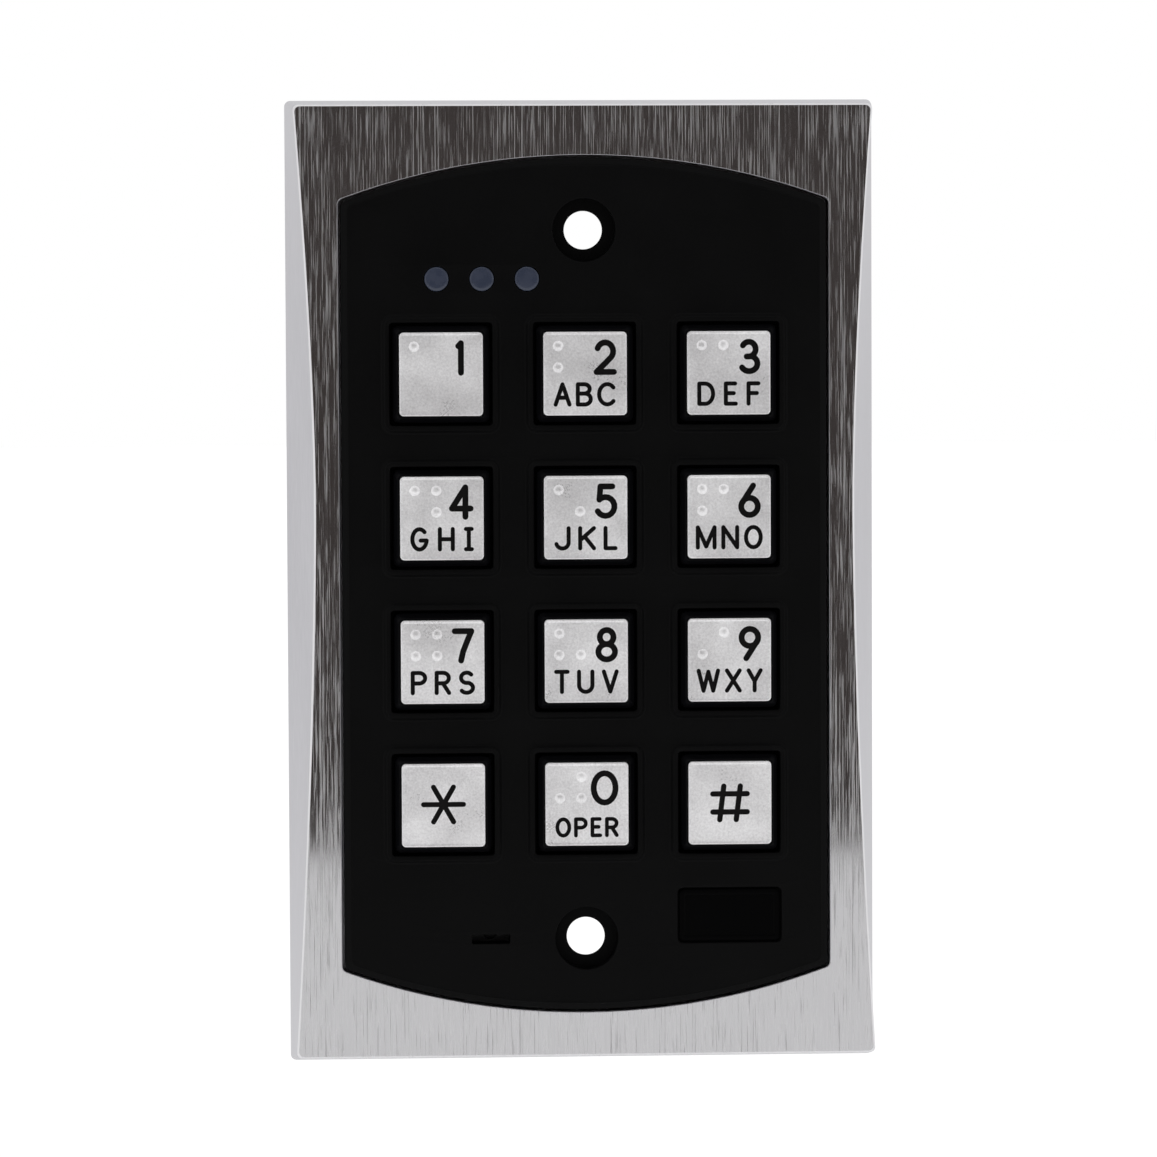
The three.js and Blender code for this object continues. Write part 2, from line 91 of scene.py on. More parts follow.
CAMERA_DISTANCE = 0.6735
CAMERA_AZIMUTH = math.radians(-3.15)
CAMERA_ELEVATION = math.radians(3.12)
CAMERA_ROLL = math.radians(-0.245)
CAMERA_LENS = 175.6  # mm, on a 36 mm sensor
AIM = Vector((-0.00024, 0.0, 0.00024))


def make_camera():
    level = math.cos(CAMERA_ELEVATION)
    away = Vector((
        math.sin(CAMERA_AZIMUTH) * level,
        -math.cos(CAMERA_AZIMUTH) * level,
        math.sin(CAMERA_ELEVATION),
    ))
    data = bpy.data.cameras.new("camera")
    data.lens = CAMERA_LENS
    data.sensor_width = 36
    data.clip_start = 0.01
    camera = bpy.data.objects.new("camera", data)
    facing = (-away).to_track_quat("-Z", "Y").to_matrix()
    camera.matrix_world = Matrix.Translation(AIM + away * CAMERA_DISTANCE) @ (
        facing @ Matrix.Rotation(CAMERA_ROLL, 3, "Z")
    ).to_4x4()
    bpy.context.collection.objects.link(camera)
    bpy.context.scene.camera = camera


make_camera()

# ---------------------------------------------------------------- outlines, as lists of (x, z)


def arc(x, z, radius, start, end, steps):
    """Points along a circular arc, both ends included. Angles are in degrees."""
    points = []
    for step in range(steps + 1):
        angle = math.radians(start + (end - start) * step / steps)
        points.append((x + radius * math.cos(angle), z + radius * math.sin(angle)))
    return points


def straight(start, end, steps):
    """Points between start and end, without the ends."""
    return [
        (start[0] + (end[0] - start[0]) * i / steps, start[1] + (end[1] - start[1]) * i / steps)
        for i in range(1, steps)
    ]


def circle(radius, x=0.0, z=0.0, sides=48):
    return arc(x, z, radius, 0, 360, sides)[:-1]


def discs(x, z, sides=48):
    """Circles about one centre, by radius."""
    return lambda radius: circle(radius, x, z, sides)


def rounded(width, height, corner, x=0.0, z=0.0, corner_steps=6, side_steps=1, end_steps=1):
    """A rectangle with round corners, starting at the lower right one."""
    right, top = width / 2 - corner, height / 2 - corner
    places = [(right, -top, -90), (right, top, 0), (-right, top, 90), (-right, -top, 180)]
    turns = [arc(x + dx, z + dz, corner, start, start + 90, corner_steps) for dx, dz, start in places]
    points = []
    for turn, following, steps in zip(turns, turns[1:] + turns[:1], (side_steps, end_steps) * 2):
        points += turn + straight(turn[-1], following[0], steps)
    return points


def boxes(width, height, corner, x=0.0, z=0.0, least=0.05, corner_steps=6):
    """Rounded rectangles about one centre, by inset. Their corners shrink too, but not below least."""
    return lambda inset: rounded(
        width - 2 * inset, height - 2 * inset, max(corner - inset, least), x, z, corner_steps,
    )


# steps along the outlines that share rings with the bezel
SIDE_STEPS = 28
END_STEPS = 24
CORNER_STEPS = 6
GRID = dict(corner_steps=CORNER_STEPS, side_steps=SIDE_STEPS, end_steps=END_STEPS)


class FaceOutline:
    """The faceplate's outline: straight sides and a shallow arc across each end."""

    def __init__(self, width, peak, sagitta):
        self.half = width / 2
        self.radius = (self.half ** 2 + sagitta ** 2) / (2 * sagitta)
        self.centre = peak - self.radius

    def at(self, inset, corner=0.8):
        """The outline moved inwards by inset."""
        side = self.half - inset
        radius = self.radius - inset
        turn_x = side - corner
        turn_z = self.centre + math.sqrt((radius - corner) ** 2 - turn_x ** 2)
        lean = math.degrees(math.atan2(turn_z - self.centre, turn_x))
        right = arc(turn_x, turn_z, corner, 0, lean, CORNER_STEPS)
        top = arc(0, self.centre, radius, lean, 180 - lean, END_STEPS)[1:-1]
        left = arc(-turn_x, turn_z, corner, 180 - lean, 180, CORNER_STEPS)
        upper = right + top + left
        lower = [(-x, -z) for x, z in upper]
        return (
            lower[-CORNER_STEPS - 1:] + straight(lower[-1], upper[0], SIDE_STEPS)
            + upper + straight(upper[-1], lower[0], SIDE_STEPS) + lower[:-CORNER_STEPS - 1]
        )


# ---------------------------------------------------------------- meshes from rings

SMOOTH_ANGLE = math.radians(32)


class Shell:
    """Rings of points joined into one closed mesh. Points are in millimetres."""

    def __init__(self):
        self.points = []
        self.faces = []
        self.slots = []

    def rings(self, pairs):
        """Adds a ring for each (outline, y) pair and returns the rings' indices."""
        made = []
        for outline, y in pairs:
            first = len(self.points)
            self.points += [(x, y, z) for x, z in outline]
            made.append(list(range(first, len(self.points))))
        return made

    def skin(self, rings, slot=0):
        """Walls between rings given in order from a front cap, over the edge and down to the back."""
        for near, far in zip(rings, rings[1:]):
            count = len(near)
            for i in range(count):
                j = (i + 1) % count
                self.faces.append((near[i], far[i], far[j], near[j]))
                self.slots.append(slot)

    def cap(self, loops, front):
        """A flat face inside the first loop and outside the others."""
        if len(loops) == 1:
            loop = loops[0]
            self.faces.append(tuple(loop) if front else tuple(reversed(loop)))
            self.slots.append(0)
            return
        flat = [index for loop in loops for index in loop]
        areas = tessellate_polygon([[Vector(self.points[i]) for i in loop] for loop in loops])
        for corners in areas:
            a, b, c = (flat[k] for k in corners)
            pa, pb, pc = (Vector(self.points[k]) for k in (a, b, c))
            faces_front = (pb - pa).cross(pc - pa).y < 0
            self.faces.append((a, b, c) if faces_front == front else (a, c, b))
            self.slots.append(0)

    def solid(self, pairs):
        """A closed solid whose rings run from its front cap to its back cap."""
        rings = self.rings(pairs)
        self.cap([rings[0]], front=True)
        self.skin(rings)
        self.cap([rings[-1]], front=False)
        return self

    def mesh(self, name, *materials):
        mesh = bpy.data.meshes.new(name)
        mesh.from_pydata([Vector(p) * MM for p in self.points], [], self.faces)
        for index, polygon in enumerate(mesh.polygons):
            polygon.material_index = self.slots[index]
        mesh.update()
        for material in materials:
            mesh.materials.append(material)
        return mesh


def along(outline_at, profile, base=0.0):
    """(outline, y) pairs from (offset, depth) rows, with the depths counted from base."""
    return [(outline_at(offset), base + depth) for offset, depth in profile]


def round_over(outline_at, face_y, radius, inwards=1, towards=1, steps=4):
    """(outline, y) pairs round an edge, from the flat face at face_y to the wall.

    outline_at(offset) gives the outline moved off the wall. inwards is 1 where the material is inside
    the outline and -1 round a hole. towards is 1 when the wall runs to higher y.
    """
    pairs = []
    for step in range(steps + 1):
        angle = math.radians(90 * step / steps)
        offset = radius * (1 - math.sin(angle))
        y = face_y + towards * radius * (1 - math.cos(angle))
        pairs.append((outline_at(inwards * offset), y))
    return pairs


def piece_from(name, mesh):
    """An object from mesh, smooth except over sharp edges."""
    mesh.polygons.foreach_set("use_smooth", [True] * len(mesh.polygons))
    mesh.set_sharp_from_angle(angle=SMOOTH_ANGLE)
    mesh.update()
    piece = bpy.data.objects.new(name, mesh)
    bpy.context.collection.objects.link(piece)
    weighted = piece.modifiers.new("weighted_normals", "WEIGHTED_NORMAL")
    weighted.keep_sharp = True
    weighted.weight = 100
    return piece


def stand_in(name, mesh, node, body="root"):
    """A piece that replaces a CAD node and moves with a body."""
    piece = piece_from(name, mesh)
    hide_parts(node)
    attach(piece, body)


def prism(outlines, front, back):
    """One mesh holding a prism for each outline."""
    shell = Shell()
    for outline in outlines:
        shell.solid([(outline, front), (outline, back)])
    return shell.mesh("prism")


def combined(base, other, operation, material):
    """base with another mesh of one material joined on or cut away, as a new mesh."""
    other.materials.append(material)
    holder = bpy.data.objects.new("base", base)
    tool = bpy.data.objects.new("tool", other)
    for thing in (holder, tool):
        bpy.context.collection.objects.link(thing)
    modifier = holder.modifiers.new("combine", "BOOLEAN")
    modifier.operation = operation
    modifier.object = tool
    modifier.solver = "EXACT"
    modifier.use_self = True
    modifier.material_mode = "TRANSFER"
    bpy.context.view_layer.update()
    result = bpy.data.meshes.new_from_object(
        holder.evaluated_get(bpy.context.evaluated_depsgraph_get())
    )
    for thing in (holder, tool):
        bpy.data.objects.remove(thing)
    return result


def cut(mesh, outlines, front, back, material):
    """mesh with a prism cut away for each outline. The cut's walls show material."""
    return combined(mesh, prism(outlines, front, back), "DIFFERENCE", material)


# ---------------------------------------------------------------- materials


class Surface:
    """A Principled material whose variation comes from patterns in object space."""

    def __init__(self, name, **constants):
        self.material = bpy.data.materials.new(name)
        self.material.use_nodes = True
        self.tree = self.material.node_tree
        self.bsdf = self.tree.nodes["Principled BSDF"]
        for socket, value in constants.items():
            self.bsdf.inputs[socket.replace("_", " ")].default_value = value

    def add(self, kind, inputs, **settings):
        """Adds a node whose inputs are linked to sockets or set to plain values. Returns its outputs."""
        made = self.tree.nodes.new(kind)
        for name, value in settings.items():
            setattr(made, name, value)
        for key, value in inputs.items():
            if isinstance(value, bpy.types.NodeSocket):
                self.tree.links.new(value, made.inputs[key])
            else:
                made.inputs[key].default_value = value
        return made.outputs

    def drive(self, socket, source):
        self.tree.links.new(source, self.bsdf.inputs[socket])

    def place(self):
        return self.add("ShaderNodeTexCoord", {})["Object"]

    def noise(self, per_mm, stretch=(1, 1, 1), detail=2.0, rough=0.5):
        """Noise with per_mm features in a millimetre, stretched along each axis."""
        scale = [1 / MM / s for s in stretch]
        scaled = self.add("ShaderNodeMapping", {"Vector": self.place(), "Scale": scale})["Vector"]
        return self.add("ShaderNodeTexNoise", {
            "Vector": scaled, "Scale": per_mm, "Detail": detail, "Roughness": rough,
        })["Fac"]

    def cells(self, per_mm, randomness=1.0, **settings):
        """Voronoi cells, per_mm of them in a millimetre."""
        return self.add("ShaderNodeTexVoronoi", {
            "Vector": self.place(), "Scale": per_mm / MM, "Randomness": randomness,
        }, **settings)

    def span(self, factor, low, high, from_low=0.3, from_high=0.7):
        """A value that runs from low to high as factor goes between its two levels."""
        return self.add("ShaderNodeMapRange", {
            "Value": factor, "From Min": from_low, "From Max": from_high, "To Min": low, "To Max": high,
        })["Result"]

    def sum(self, first, second, share=0.5):
        """first and second added, the second weighted by share."""
        return self.add("ShaderNodeMath", {0: second, 1: share, 2: first}, operation="MULTIPLY_ADD")[0]

    def times(self, first, second):
        return self.add("ShaderNodeMath", {0: first, 1: second}, operation="MULTIPLY")[0]

    def colour(self, factor, dark, light):
        """Base colour between dark and light, by way of the Mix node's colour sockets."""
        mix = {0: factor, 6: (*dark, 1), 7: (*light, 1)}
        self.drive("Base Color", self.add("ShaderNodeMix", mix, data_type="RGBA")[2])

    def roughness(self, factor, low, high, *levels):
        self.drive("Roughness", self.span(factor, low, high, *levels))

    def bump(self, height, distance_mm):
        self.drive("Normal", self.add("ShaderNodeBump", {
            "Height": height, "Strength": 1.0, "Distance": distance_mm * MM,
        })["Normal"])

    def follow(self, pattern, dark, light, rough, relief=0.0):
        """Colour, roughness and relief (in millimetres) that all follow one pattern."""
        self.colour(pattern, dark, light)
        self.roughness(pattern, *rough)
        if relief:
            self.bump(pattern, relief)
        return self.material


def brushed_metal():
    """Satin nickel brushed up and down: rough hairlines catch the light, smooth metal mirrors the room."""
    surface = Surface("brushed_metal", Metallic=1.0, Anisotropic=0.95)
    short = surface.span(surface.noise(7.0, stretch=(1, 1, 36), detail=1.0), 0, 1, 0.45, 0.72)
    long = surface.span(surface.noise(5.5, stretch=(1, 1, 260), rough=0.6), 0, 1, 0.45, 0.72)
    pressure = surface.span(surface.noise(0.30, stretch=(1, 1, 7)), 0.30, 1)
    both = surface.sum(short, long, 1.0)
    lines = surface.times(surface.times(both, both), pressure)
    surface.colour(lines, (0.49, 0.485, 0.497), (0.66, 0.655, 0.665))
    surface.roughness(lines, 0.10, 0.76, 0.0, 1.2)
    surface.bump(lines, 0.003)
    return surface.material


def painted_edge_highlight():
    """The rounded front edge in a lighter tone than the brushed front: a painted highlight along the edge,
    with a random streaky mottle.
    """
    surface = Surface("painted_edge_highlight", Metallic=1.0)
    mottle = surface.noise(0.9, stretch=(1, 1, 6), detail=3.0)
    return surface.follow(mottle, (0.62, 0.615, 0.63), (0.78, 0.775, 0.79), (0.26, 0.40), 0.004)


def satin_metal():
    """The bezel's side walls and back: the same nickel with a fine, even satin grain."""
    surface = Surface("satin_metal", Metallic=1.0)
    fine = surface.noise(7.0, stretch=(1, 1, 18), rough=0.6)
    cloud = surface.noise(0.15, stretch=(1, 1, 3))
    grain = surface.sum(fine, cloud, 0.4)
    surface.colour(surface.span(grain, 0, 1, 0.50, 0.90), (0.415, 0.41, 0.435), (0.535, 0.53, 0.555))
    surface.roughness(grain, 0.34, 0.52, 0.50, 0.90)
    surface.bump(fine, 0.006)
    return surface.material


def key_metal():
    """Blasted and plated caps: fine grain, faint clouding and a few handling marks."""
    surface = Surface("key_metal", Metallic=0.42)
    cloud = surface.noise(0.20)
    grain = surface.noise(3.5, detail=4.0, rough=0.75)
    marks = surface.noise(1.3, detail=6.0, rough=0.8)
    tone = surface.sum(surface.sum(grain, cloud, 0.6), surface.span(marks, 0, -0.5, 0.67, 0.73), 1.0)
    surface.colour(surface.span(tone, 0, 1, 0.55, 1.05), (0.60, 0.59, 0.60), (0.91, 0.905, 0.915))
    surface.roughness(surface.sum(cloud, grain, 0.5), 0.27, 0.42, 0.5, 1.0)
    surface.bump(grain, 0.014)
    return surface.material


def moulded_plastic(name, colour, rough=0.55, per_mm=6.0, depth=0.01, shine=0.06):
    """Moulded plastic with a fine spark-eroded texture."""
    surface = Surface(name, Metallic=0.0, Specular_IOR_Level=shine)
    grain = surface.noise(per_mm, detail=3.0, rough=0.6)
    cloud = surface.noise(0.12)
    light = tuple(min(c * 1.35 + 0.0006, 1) for c in colour)
    surface.colour(cloud, colour, light)
    surface.roughness(surface.sum(grain, cloud, 0.5), rough - 0.07, rough + 0.08, 0.5, 1.0)
    surface.bump(grain, depth)
    return surface.material


def legend_ink():
    surface = Surface("legend_ink", Metallic=0.0, Specular_IOR_Level=0.08)
    return surface.follow(surface.noise(10.0), (0.003, 0.003, 0.003), (0.008, 0.007, 0.007), (0.35, 0.55))


def smoked_lens():
    """Dark tinted light pipes."""
    surface = Surface("smoked_lens", Metallic=0.0, Specular_IOR_Level=0.5)
    return surface.follow(surface.noise(0.9), (0.021, 0.028, 0.049), (0.033, 0.042, 0.072), (0.22, 0.36))


def led_resin():
    surface = Surface("led_resin", Metallic=0.0, Transmission_Weight=0.5)
    return surface.follow(surface.noise(1.0), (0.62, 0.70, 0.66), (0.78, 0.84, 0.80), (0.12, 0.25))


def rubber(name, dark, light, per_mm):
    """Soft rubber with a dusty, slightly pitted skin."""
    surface = Surface(name, Metallic=0.0, Specular_IOR_Level=0.25)
    pits = surface.noise(per_mm, detail=4.0, rough=0.7)
    return surface.follow(pits, dark, light, (0.72, 0.92), 0.03)


def plated_metal(name, dark, light):
    """Bright plate or bare can, duller where it has been handled."""
    surface = Surface(name, Metallic=1.0)
    mottle = surface.noise(1.3, detail=4.0, rough=0.7)
    return surface.follow(mottle, dark, light, (0.24, 0.46), 0.008)


def circuit_board():
    """Green solder mask over copper tracks, which stand up a little and show paler."""
    surface = Surface("circuit_board", Metallic=0.0, Specular_IOR_Level=0.5)
    edges = surface.cells(0.42, 0.55, feature="DISTANCE_TO_EDGE")["Distance"]
    tracks = surface.span(edges, 1, 0, 0.05, 0.09)
    weave = surface.noise(2.5)
    surface.colour(surface.sum(tracks, weave, 0.25), (0.006, 0.060, 0.022), (0.020, 0.150, 0.055))
    surface.roughness(weave, 0.28, 0.42)
    surface.bump(tracks, 0.03)
    return surface.material


def galvanised_plate():
    """Zinc spangle: flat crystals that differ in brightness and gloss."""
    surface = Surface("galvanised_plate", Metallic=1.0)
    grey = surface.add("ShaderNodeRGBToBW", {"Color": surface.cells(0.55)["Color"]})["Val"]
    grain = surface.noise(5.0, detail=3.0)
    tone = surface.sum(grey, grain, 0.3)
    surface.colour(surface.span(tone, 0, 1, 0.2, 1.1), (0.36, 0.37, 0.39), (0.60, 0.61, 0.63))
    surface.roughness(tone, 0.32, 0.55, 0.2, 1.1)
    surface.bump(grain, 0.01)
    return surface.material


SATIN = satin_metal()
# a lighter copy of the bezel metal: painted highlight on the rounded front edge
EDGE_HIGHLIGHT_PAINT = painted_edge_highlight()
INK = legend_ink()
LABEL_PLASTIC = moulded_plastic(
    "label_plastic", (0.0006, 0.0006, 0.0007), rough=0.34, depth=0.002, shine=0.02,
)
FINISHES = {
    "brushed_bezel": brushed_metal(),
    "key_metal": key_metal(),
    "face_plastic": moulded_plastic("face_plastic", (0.0015, 0.0015, 0.0016)),
    "key_plastic": moulded_plastic("key_plastic", (0.0012, 0.0012, 0.0017), rough=0.42, depth=0.004),
    "smoked_lens": smoked_lens(),
    "silicone": rubber("silicone", (0.045, 0.047, 0.052), (0.075, 0.078, 0.085), 5.0),
    "gasket": rubber("gasket", (0.010, 0.010, 0.011), (0.028, 0.028, 0.029), 3.0),
    "circuit_board": circuit_board(),
    "galvanised_plate": galvanised_plate(),
    "housing_plastic": moulded_plastic("housing_plastic", (0.012, 0.012, 0.013), 0.6, 4.0, 0.02, 0.4),
    "component_plastic": moulded_plastic("component_plastic", (0.010, 0.010, 0.011), 0.5, 7.0, 0.01, 0.4),
    "terminal_plastic": moulded_plastic("terminal_plastic", (0.022, 0.185, 0.062), 0.45, 5.0, 0.006, 0.5),
    "can_aluminium": plated_metal("can_aluminium", (0.58, 0.58, 0.59), (0.72, 0.72, 0.73)),
    "led_resin": led_resin(),
    "plated_steel": plated_metal("plated_steel", (0.42, 0.42, 0.44), (0.62, 0.62, 0.63)),
}

# ---------------------------------------------------------------- bezel

# how far the front edge stands in from the wall edge: most at the waist, least at the corners
WAIST_Z = 10.0
WAIST_INSET = 3.2
TOP_CORNER_INSET = 0.9
BOTTOM_CORNER_INSET = 0.7
SIDE_CURVE = 1.6
TOP_INSET = 0.75
BOTTOM_INSET = 1.5
PLATE_CORNER = 0.7
WALL_STEPS = 6
EDGE_PROFILE = [(0.20, 0.0), (0.17, 0.015), (0.02, 0.165), (0.0, 0.21)]  # inset and depth, front to side
CUTOUT_CLEARANCE = 0.3
CUTOUT_ROUND = 0.10
LEDGE_WIDTH = 3.0
LEDGE_FRONT = -6.5
LEDGE_BACK = -4.5
# width, height and corner radius
HOLLOW = (62.0, 104.0, 2.0)
GROOVE_OUTER = (68.0, 110.8, 2.0)
GROOVE_INNER = (64.0, 106.8, 3.4)  # round enough at the corners to clear the gasket's straight-cut ones
GROOVE_DEPTH = 1.2
FACE_THICKNESS = 3.0
FACE_SAGITTA = 5.1  # how far the arc across each end of the face rises
LENS_SUNK = 0.05  # the lenses sit this far behind the face

plate_low, plate_high = box_mm("bezel")
PLATE_WIDTH = plate_high.x - plate_low.x
PLATE_HEIGHT = plate_high.z - plate_low.z
PLATE_FRONT = plate_low.y
face_low, face_high = box_mm("faceplate")
FACE_FRONT = box_mm("indicator_lens_left")[0].y - LENS_SUNK
FACE_BACK = FACE_FRONT + FACE_THICKNESS
FACE = FaceOutline(face_high.x - face_low.x, face_high.z, FACE_SAGITTA)


def side_inset(z):
    """How far the front edge stands in at height z."""
    corner = TOP_CORNER_INSET if z > WAIST_Z else BOTTOM_CORNER_INSET
    span = PLATE_HEIGHT / 2 + (-WAIST_Z if z > WAIST_Z else WAIST_Z)
    reach = min(abs(z - WAIST_Z) / span, 1)
    return WAIST_INSET - (WAIST_INSET - corner) * reach ** SIDE_CURVE


def plate_outline(lean, inset=0.0):
    """The bezel's outer outline. lean runs from 0 at the wall to 1 at the front edge."""
    points = []
    for x, z in rounded(PLATE_WIDTH - 2 * inset, PLATE_HEIGHT - 2 * inset, PLATE_CORNER, **GRID):
        end_inset = TOP_INSET if z > 0 else BOTTOM_INSET
        points.append((
            x * (1 - 2 * side_inset(z) * lean / PLATE_WIDTH),
            z * (1 - 2 * end_inset * lean / PLATE_HEIGHT),
        ))
    return points


def make_bezel():
    """The cast surround: front, edge and side walls outside, then the gasket groove, hollow and ledge."""
    shell = Shell()
    cutout = round_over(
        lambda e: FACE.at(-CUTOUT_CLEARANCE + e), PLATE_FRONT, CUTOUT_ROUND, inwards=-1,
    )
    outer = [
        (plate_outline((PLATE_FRONT + depth) / PLATE_FRONT, inset), PLATE_FRONT + depth)
        for inset, depth in EDGE_PROFILE
    ]
    for step in range(1, WALL_STEPS + 1):
        y = (PLATE_FRONT + EDGE_PROFILE[-1][1]) * (1 - step / WALL_STEPS)
        outer.append((plate_outline(y / PLATE_FRONT), y))
    groove_outer, groove_inner, hollow = (
        rounded(*size, **GRID) for size in (GROOVE_OUTER, GROOVE_INNER, HOLLOW)
    )
    opening = FACE.at(LEDGE_WIDTH)
    front_edge = shell.rings(cutout)
    outer_rings = shell.rings(outer)
    back_rings = shell.rings([
        (groove_outer, 0.0), (groove_outer, -GROOVE_DEPTH), (groove_inner, -GROOVE_DEPTH),
        (groove_inner, 0.0), (hollow, 0.0), (hollow, LEDGE_BACK), (opening, LEDGE_BACK),
        (opening, LEDGE_FRONT), (FACE.at(-CUTOUT_CLEARANCE), LEDGE_FRONT),
    ])
    edge_end = len(EDGE_PROFILE)
    shell.skin([front_edge[0], outer_rings[0]], slot=0)
    # the rounded front edge takes the lighter metal, a painted highlight
    shell.skin(outer_rings[:edge_end], slot=2)
    shell.skin(outer_rings[edge_end - 1:], slot=1)
    shell.skin([outer_rings[-1]] + back_rings + front_edge[::-1], slot=1)
    mesh = shell.mesh("bezel_casting", FINISHES["brushed_bezel"], SATIN, EDGE_HIGHLIGHT_PAINT)
    stand_in("bezel_casting", mesh, "bezel")


make_bezel()

# ---------------------------------------------------------------- keys: places and legends

KEY_LABELS = ["1", "2", "3", "4", "5", "6", "7", "8", "9", "star", "0", "hash"]
KEY_CENTRES = {label: centre_mm(f"key_{label}_cap") for label in KEY_LABELS}
LETTERS = {"2": "ABC", "3": "DEF", "4": "GHI", "5": "JKL", "6": "MNO",
           "7": "PRS", "8": "TUV", "9": "WXY", "0": "OPER"}
ROW_WIDTHS = {"6": 7.9, "7": 7.55, "8": 7.6, "9": 7.8}
# the raised dots of each digit's braille cell, by their usual numbers
BRAILLE = {"1": "1", "2": "12", "3": "14", "4": "145", "5": "15", "6": "142", "7": "1425", "8": "125",
           "9": "42", "0": "425"}


def bow(x, z, rx, rz, start, end, steps=14):
    """Points along an elliptical arc in a glyph's unit box."""
    return [(x + rx * px, z + rz * pz) for px, pz in arc(0, 0, 1, start, end, steps)]


def loop(z, rx, rz):
    """A closed oval centred in the glyph's width, as two strokes that overlap."""
    return [bow(0.5, z, rx, rz, -5, 185), bow(0.5, z, rx, rz, 175, 365)]


def belly(x, z, rx, rz, foot):
    """A right-hand bowl that starts level with its own top and ends in a bar back to the stem."""
    return bow(x, z, rx, rz, 90, -90) + [(0, foot)]


STEM = [(0, 0), (0, 1)]
ROOF = [(0, 1), (1, 1)]
# each glyph: its width as a share of its height, and its strokes in a unit box
GLYPHS = {
    "1": (0.25, [[(1, 0), (1, 1)], [(1, 1), (0.1, 0.90)]]),
    "2": (0.66, [bow(0.5, 0.70, 0.46, 0.30, 160, -40) + [(0, 0)], [(0, 0), (1, 0)]]),
    "3": (0.62, [bow(0.46, 0.75, 0.43, 0.25, 150, -90) + [(0.32, 0.5)],
                 [(0.46, 0.5)] + bow(0.48, 0.26, 0.52, 0.26, 75, -150)]),
    "4": (0.70, [[(0.72, 0), (0.72, 1)], [(0.72, 1), (0, 0.28)], [(0, 0.28), (1, 0.28)]]),
    "5": (0.64, [[(0.88, 1), (0.16, 1)], [(0.16, 1), (0.10, 0.55)],
                 bow(0.46, 0.32, 0.54, 0.32, 132, -150)]),
    "6": (0.64, [[(0.72, 1), (0.07, 0.42)]] + loop(0.29, 0.5, 0.29)),
    "7": (0.64, [ROOF, [(1, 1), (0.72, 0.62), (0.5, 0.3), (0.38, 0)]]),
    "8": (0.64, loop(0.76, 0.41, 0.24) + loop(0.26, 0.5, 0.26)),
    "9": (0.64, [[(0.28, 0), (0.93, 0.58)]] + loop(0.71, 0.5, 0.29)),
    "0": (0.79, loop(0.5, 0.5, 0.5)),
    "star": (1.0, [[(0, 0.5), (1, 0.5)], [(0.25, 0), (0.75, 1)], [(0.25, 1), (0.75, 0)]]),
    "hash": (1.0, [[(0.20, 0), (0.32, 1)], [(0.68, 0), (0.80, 1)],
                   [(0, 0.23), (1, 0.23)], [(0, 0.77), (1, 0.77)]]),
    "A": (0.74, [[(0, 0), (0.5, 1)], [(0.5, 1), (1, 0)], [(0.18, 0.34), (0.82, 0.34)]]),
    "B": (0.70, [STEM, [(0, 1)] + belly(0.5, 0.77, 0.42, 0.23, 0.54),
                 [(0.3, 0.54)] + belly(0.55, 0.27, 0.45, 0.27, 0)]),
    "C": (0.82, [bow(0.52, 0.5, 0.52, 0.5, 42, 318, 20)]),
    "D": (0.74, [STEM, [(0, 1)] + belly(0.42, 0.5, 0.58, 0.5, 0)]),
    "E": (0.58, [STEM, [(0, 1), (0.94, 1)], [(0, 0.52), (0.8, 0.52)], [(0, 0), (1, 0)]]),
    "F": (0.58, [STEM, ROOF, [(0, 0.52), (0.84, 0.52)]]),
    "G": (0.76, [bow(0.5, 0.5, 0.5, 0.5, 45, 352, 22), [(1, 0.44), (0.58, 0.44)]]),
    "H": (0.70, [STEM, [(1, 0), (1, 1)], [(0, 0.5), (1, 0.5)]]),
    "I": (0.41, [[(0.5, 0), (0.5, 1)], ROOF, [(0, 0), (1, 0)]]),
    "J": (0.68, [[(1, 1)] + bow(0.5, 0.30, 0.5, 0.30, 0, -165)]),
    "K": (0.74, [STEM, [(1, 1), (0, 0.40)], [(0.33, 0.58), (1, 0)]]),
    "L": (0.58, [[(0, 1), (0, 0)], [(0, 0), (1, 0)]]),
    "M": (0.86, [STEM, [(0, 1), (0.5, 0.05)], [(0.5, 0.05), (1, 1)], [(1, 1), (1, 0)]]),
    "N": (0.74, [STEM, [(0, 1), (1, 0)], [(1, 0), (1, 1)]]),
    "O": (0.78, loop(0.5, 0.5, 0.5)),
    "P": (0.68, [STEM, [(0, 1)] + belly(0.52, 0.74, 0.48, 0.26, 0.48)]),
    "R": (0.68, [STEM, [(0, 1)] + belly(0.52, 0.74, 0.46, 0.26, 0.48),
                 [(0.5, 0.48), (1, 0)]]),
    "S": (0.68, [bow(0.5, 0.745, 0.46, 0.255, 38, 270) + bow(0.5, 0.25, 0.5, 0.25, 80, -145)]),
    "T": (0.64, [ROOF, [(0.5, 1), (0.5, 0)]]),
    "U": (0.72, [[(0, 1)] + bow(0.5, 0.33, 0.5, 0.33, 180, 360) + [(1, 1)]]),
    "V": (0.70, [[(0, 1), (0.5, 0)], [(0.5, 0), (1, 1)]]),
    "W": (0.97, [[(0, 1), (0.25, 0)], [(0.25, 0), (0.5, 0.95)], [(0.5, 0.95), (0.75, 0)],
                 [(0.75, 0), (1, 1)]]),
    "X": (0.70, [[(0, 1), (1, 0)], [(0, 0), (1, 1)]]),
    "Y": (0.67, [[(0, 1), (0.5, 0.46)], [(1, 1), (0.5, 0.46)], [(0.5, 0.46), (0.5, 0)]]),
}
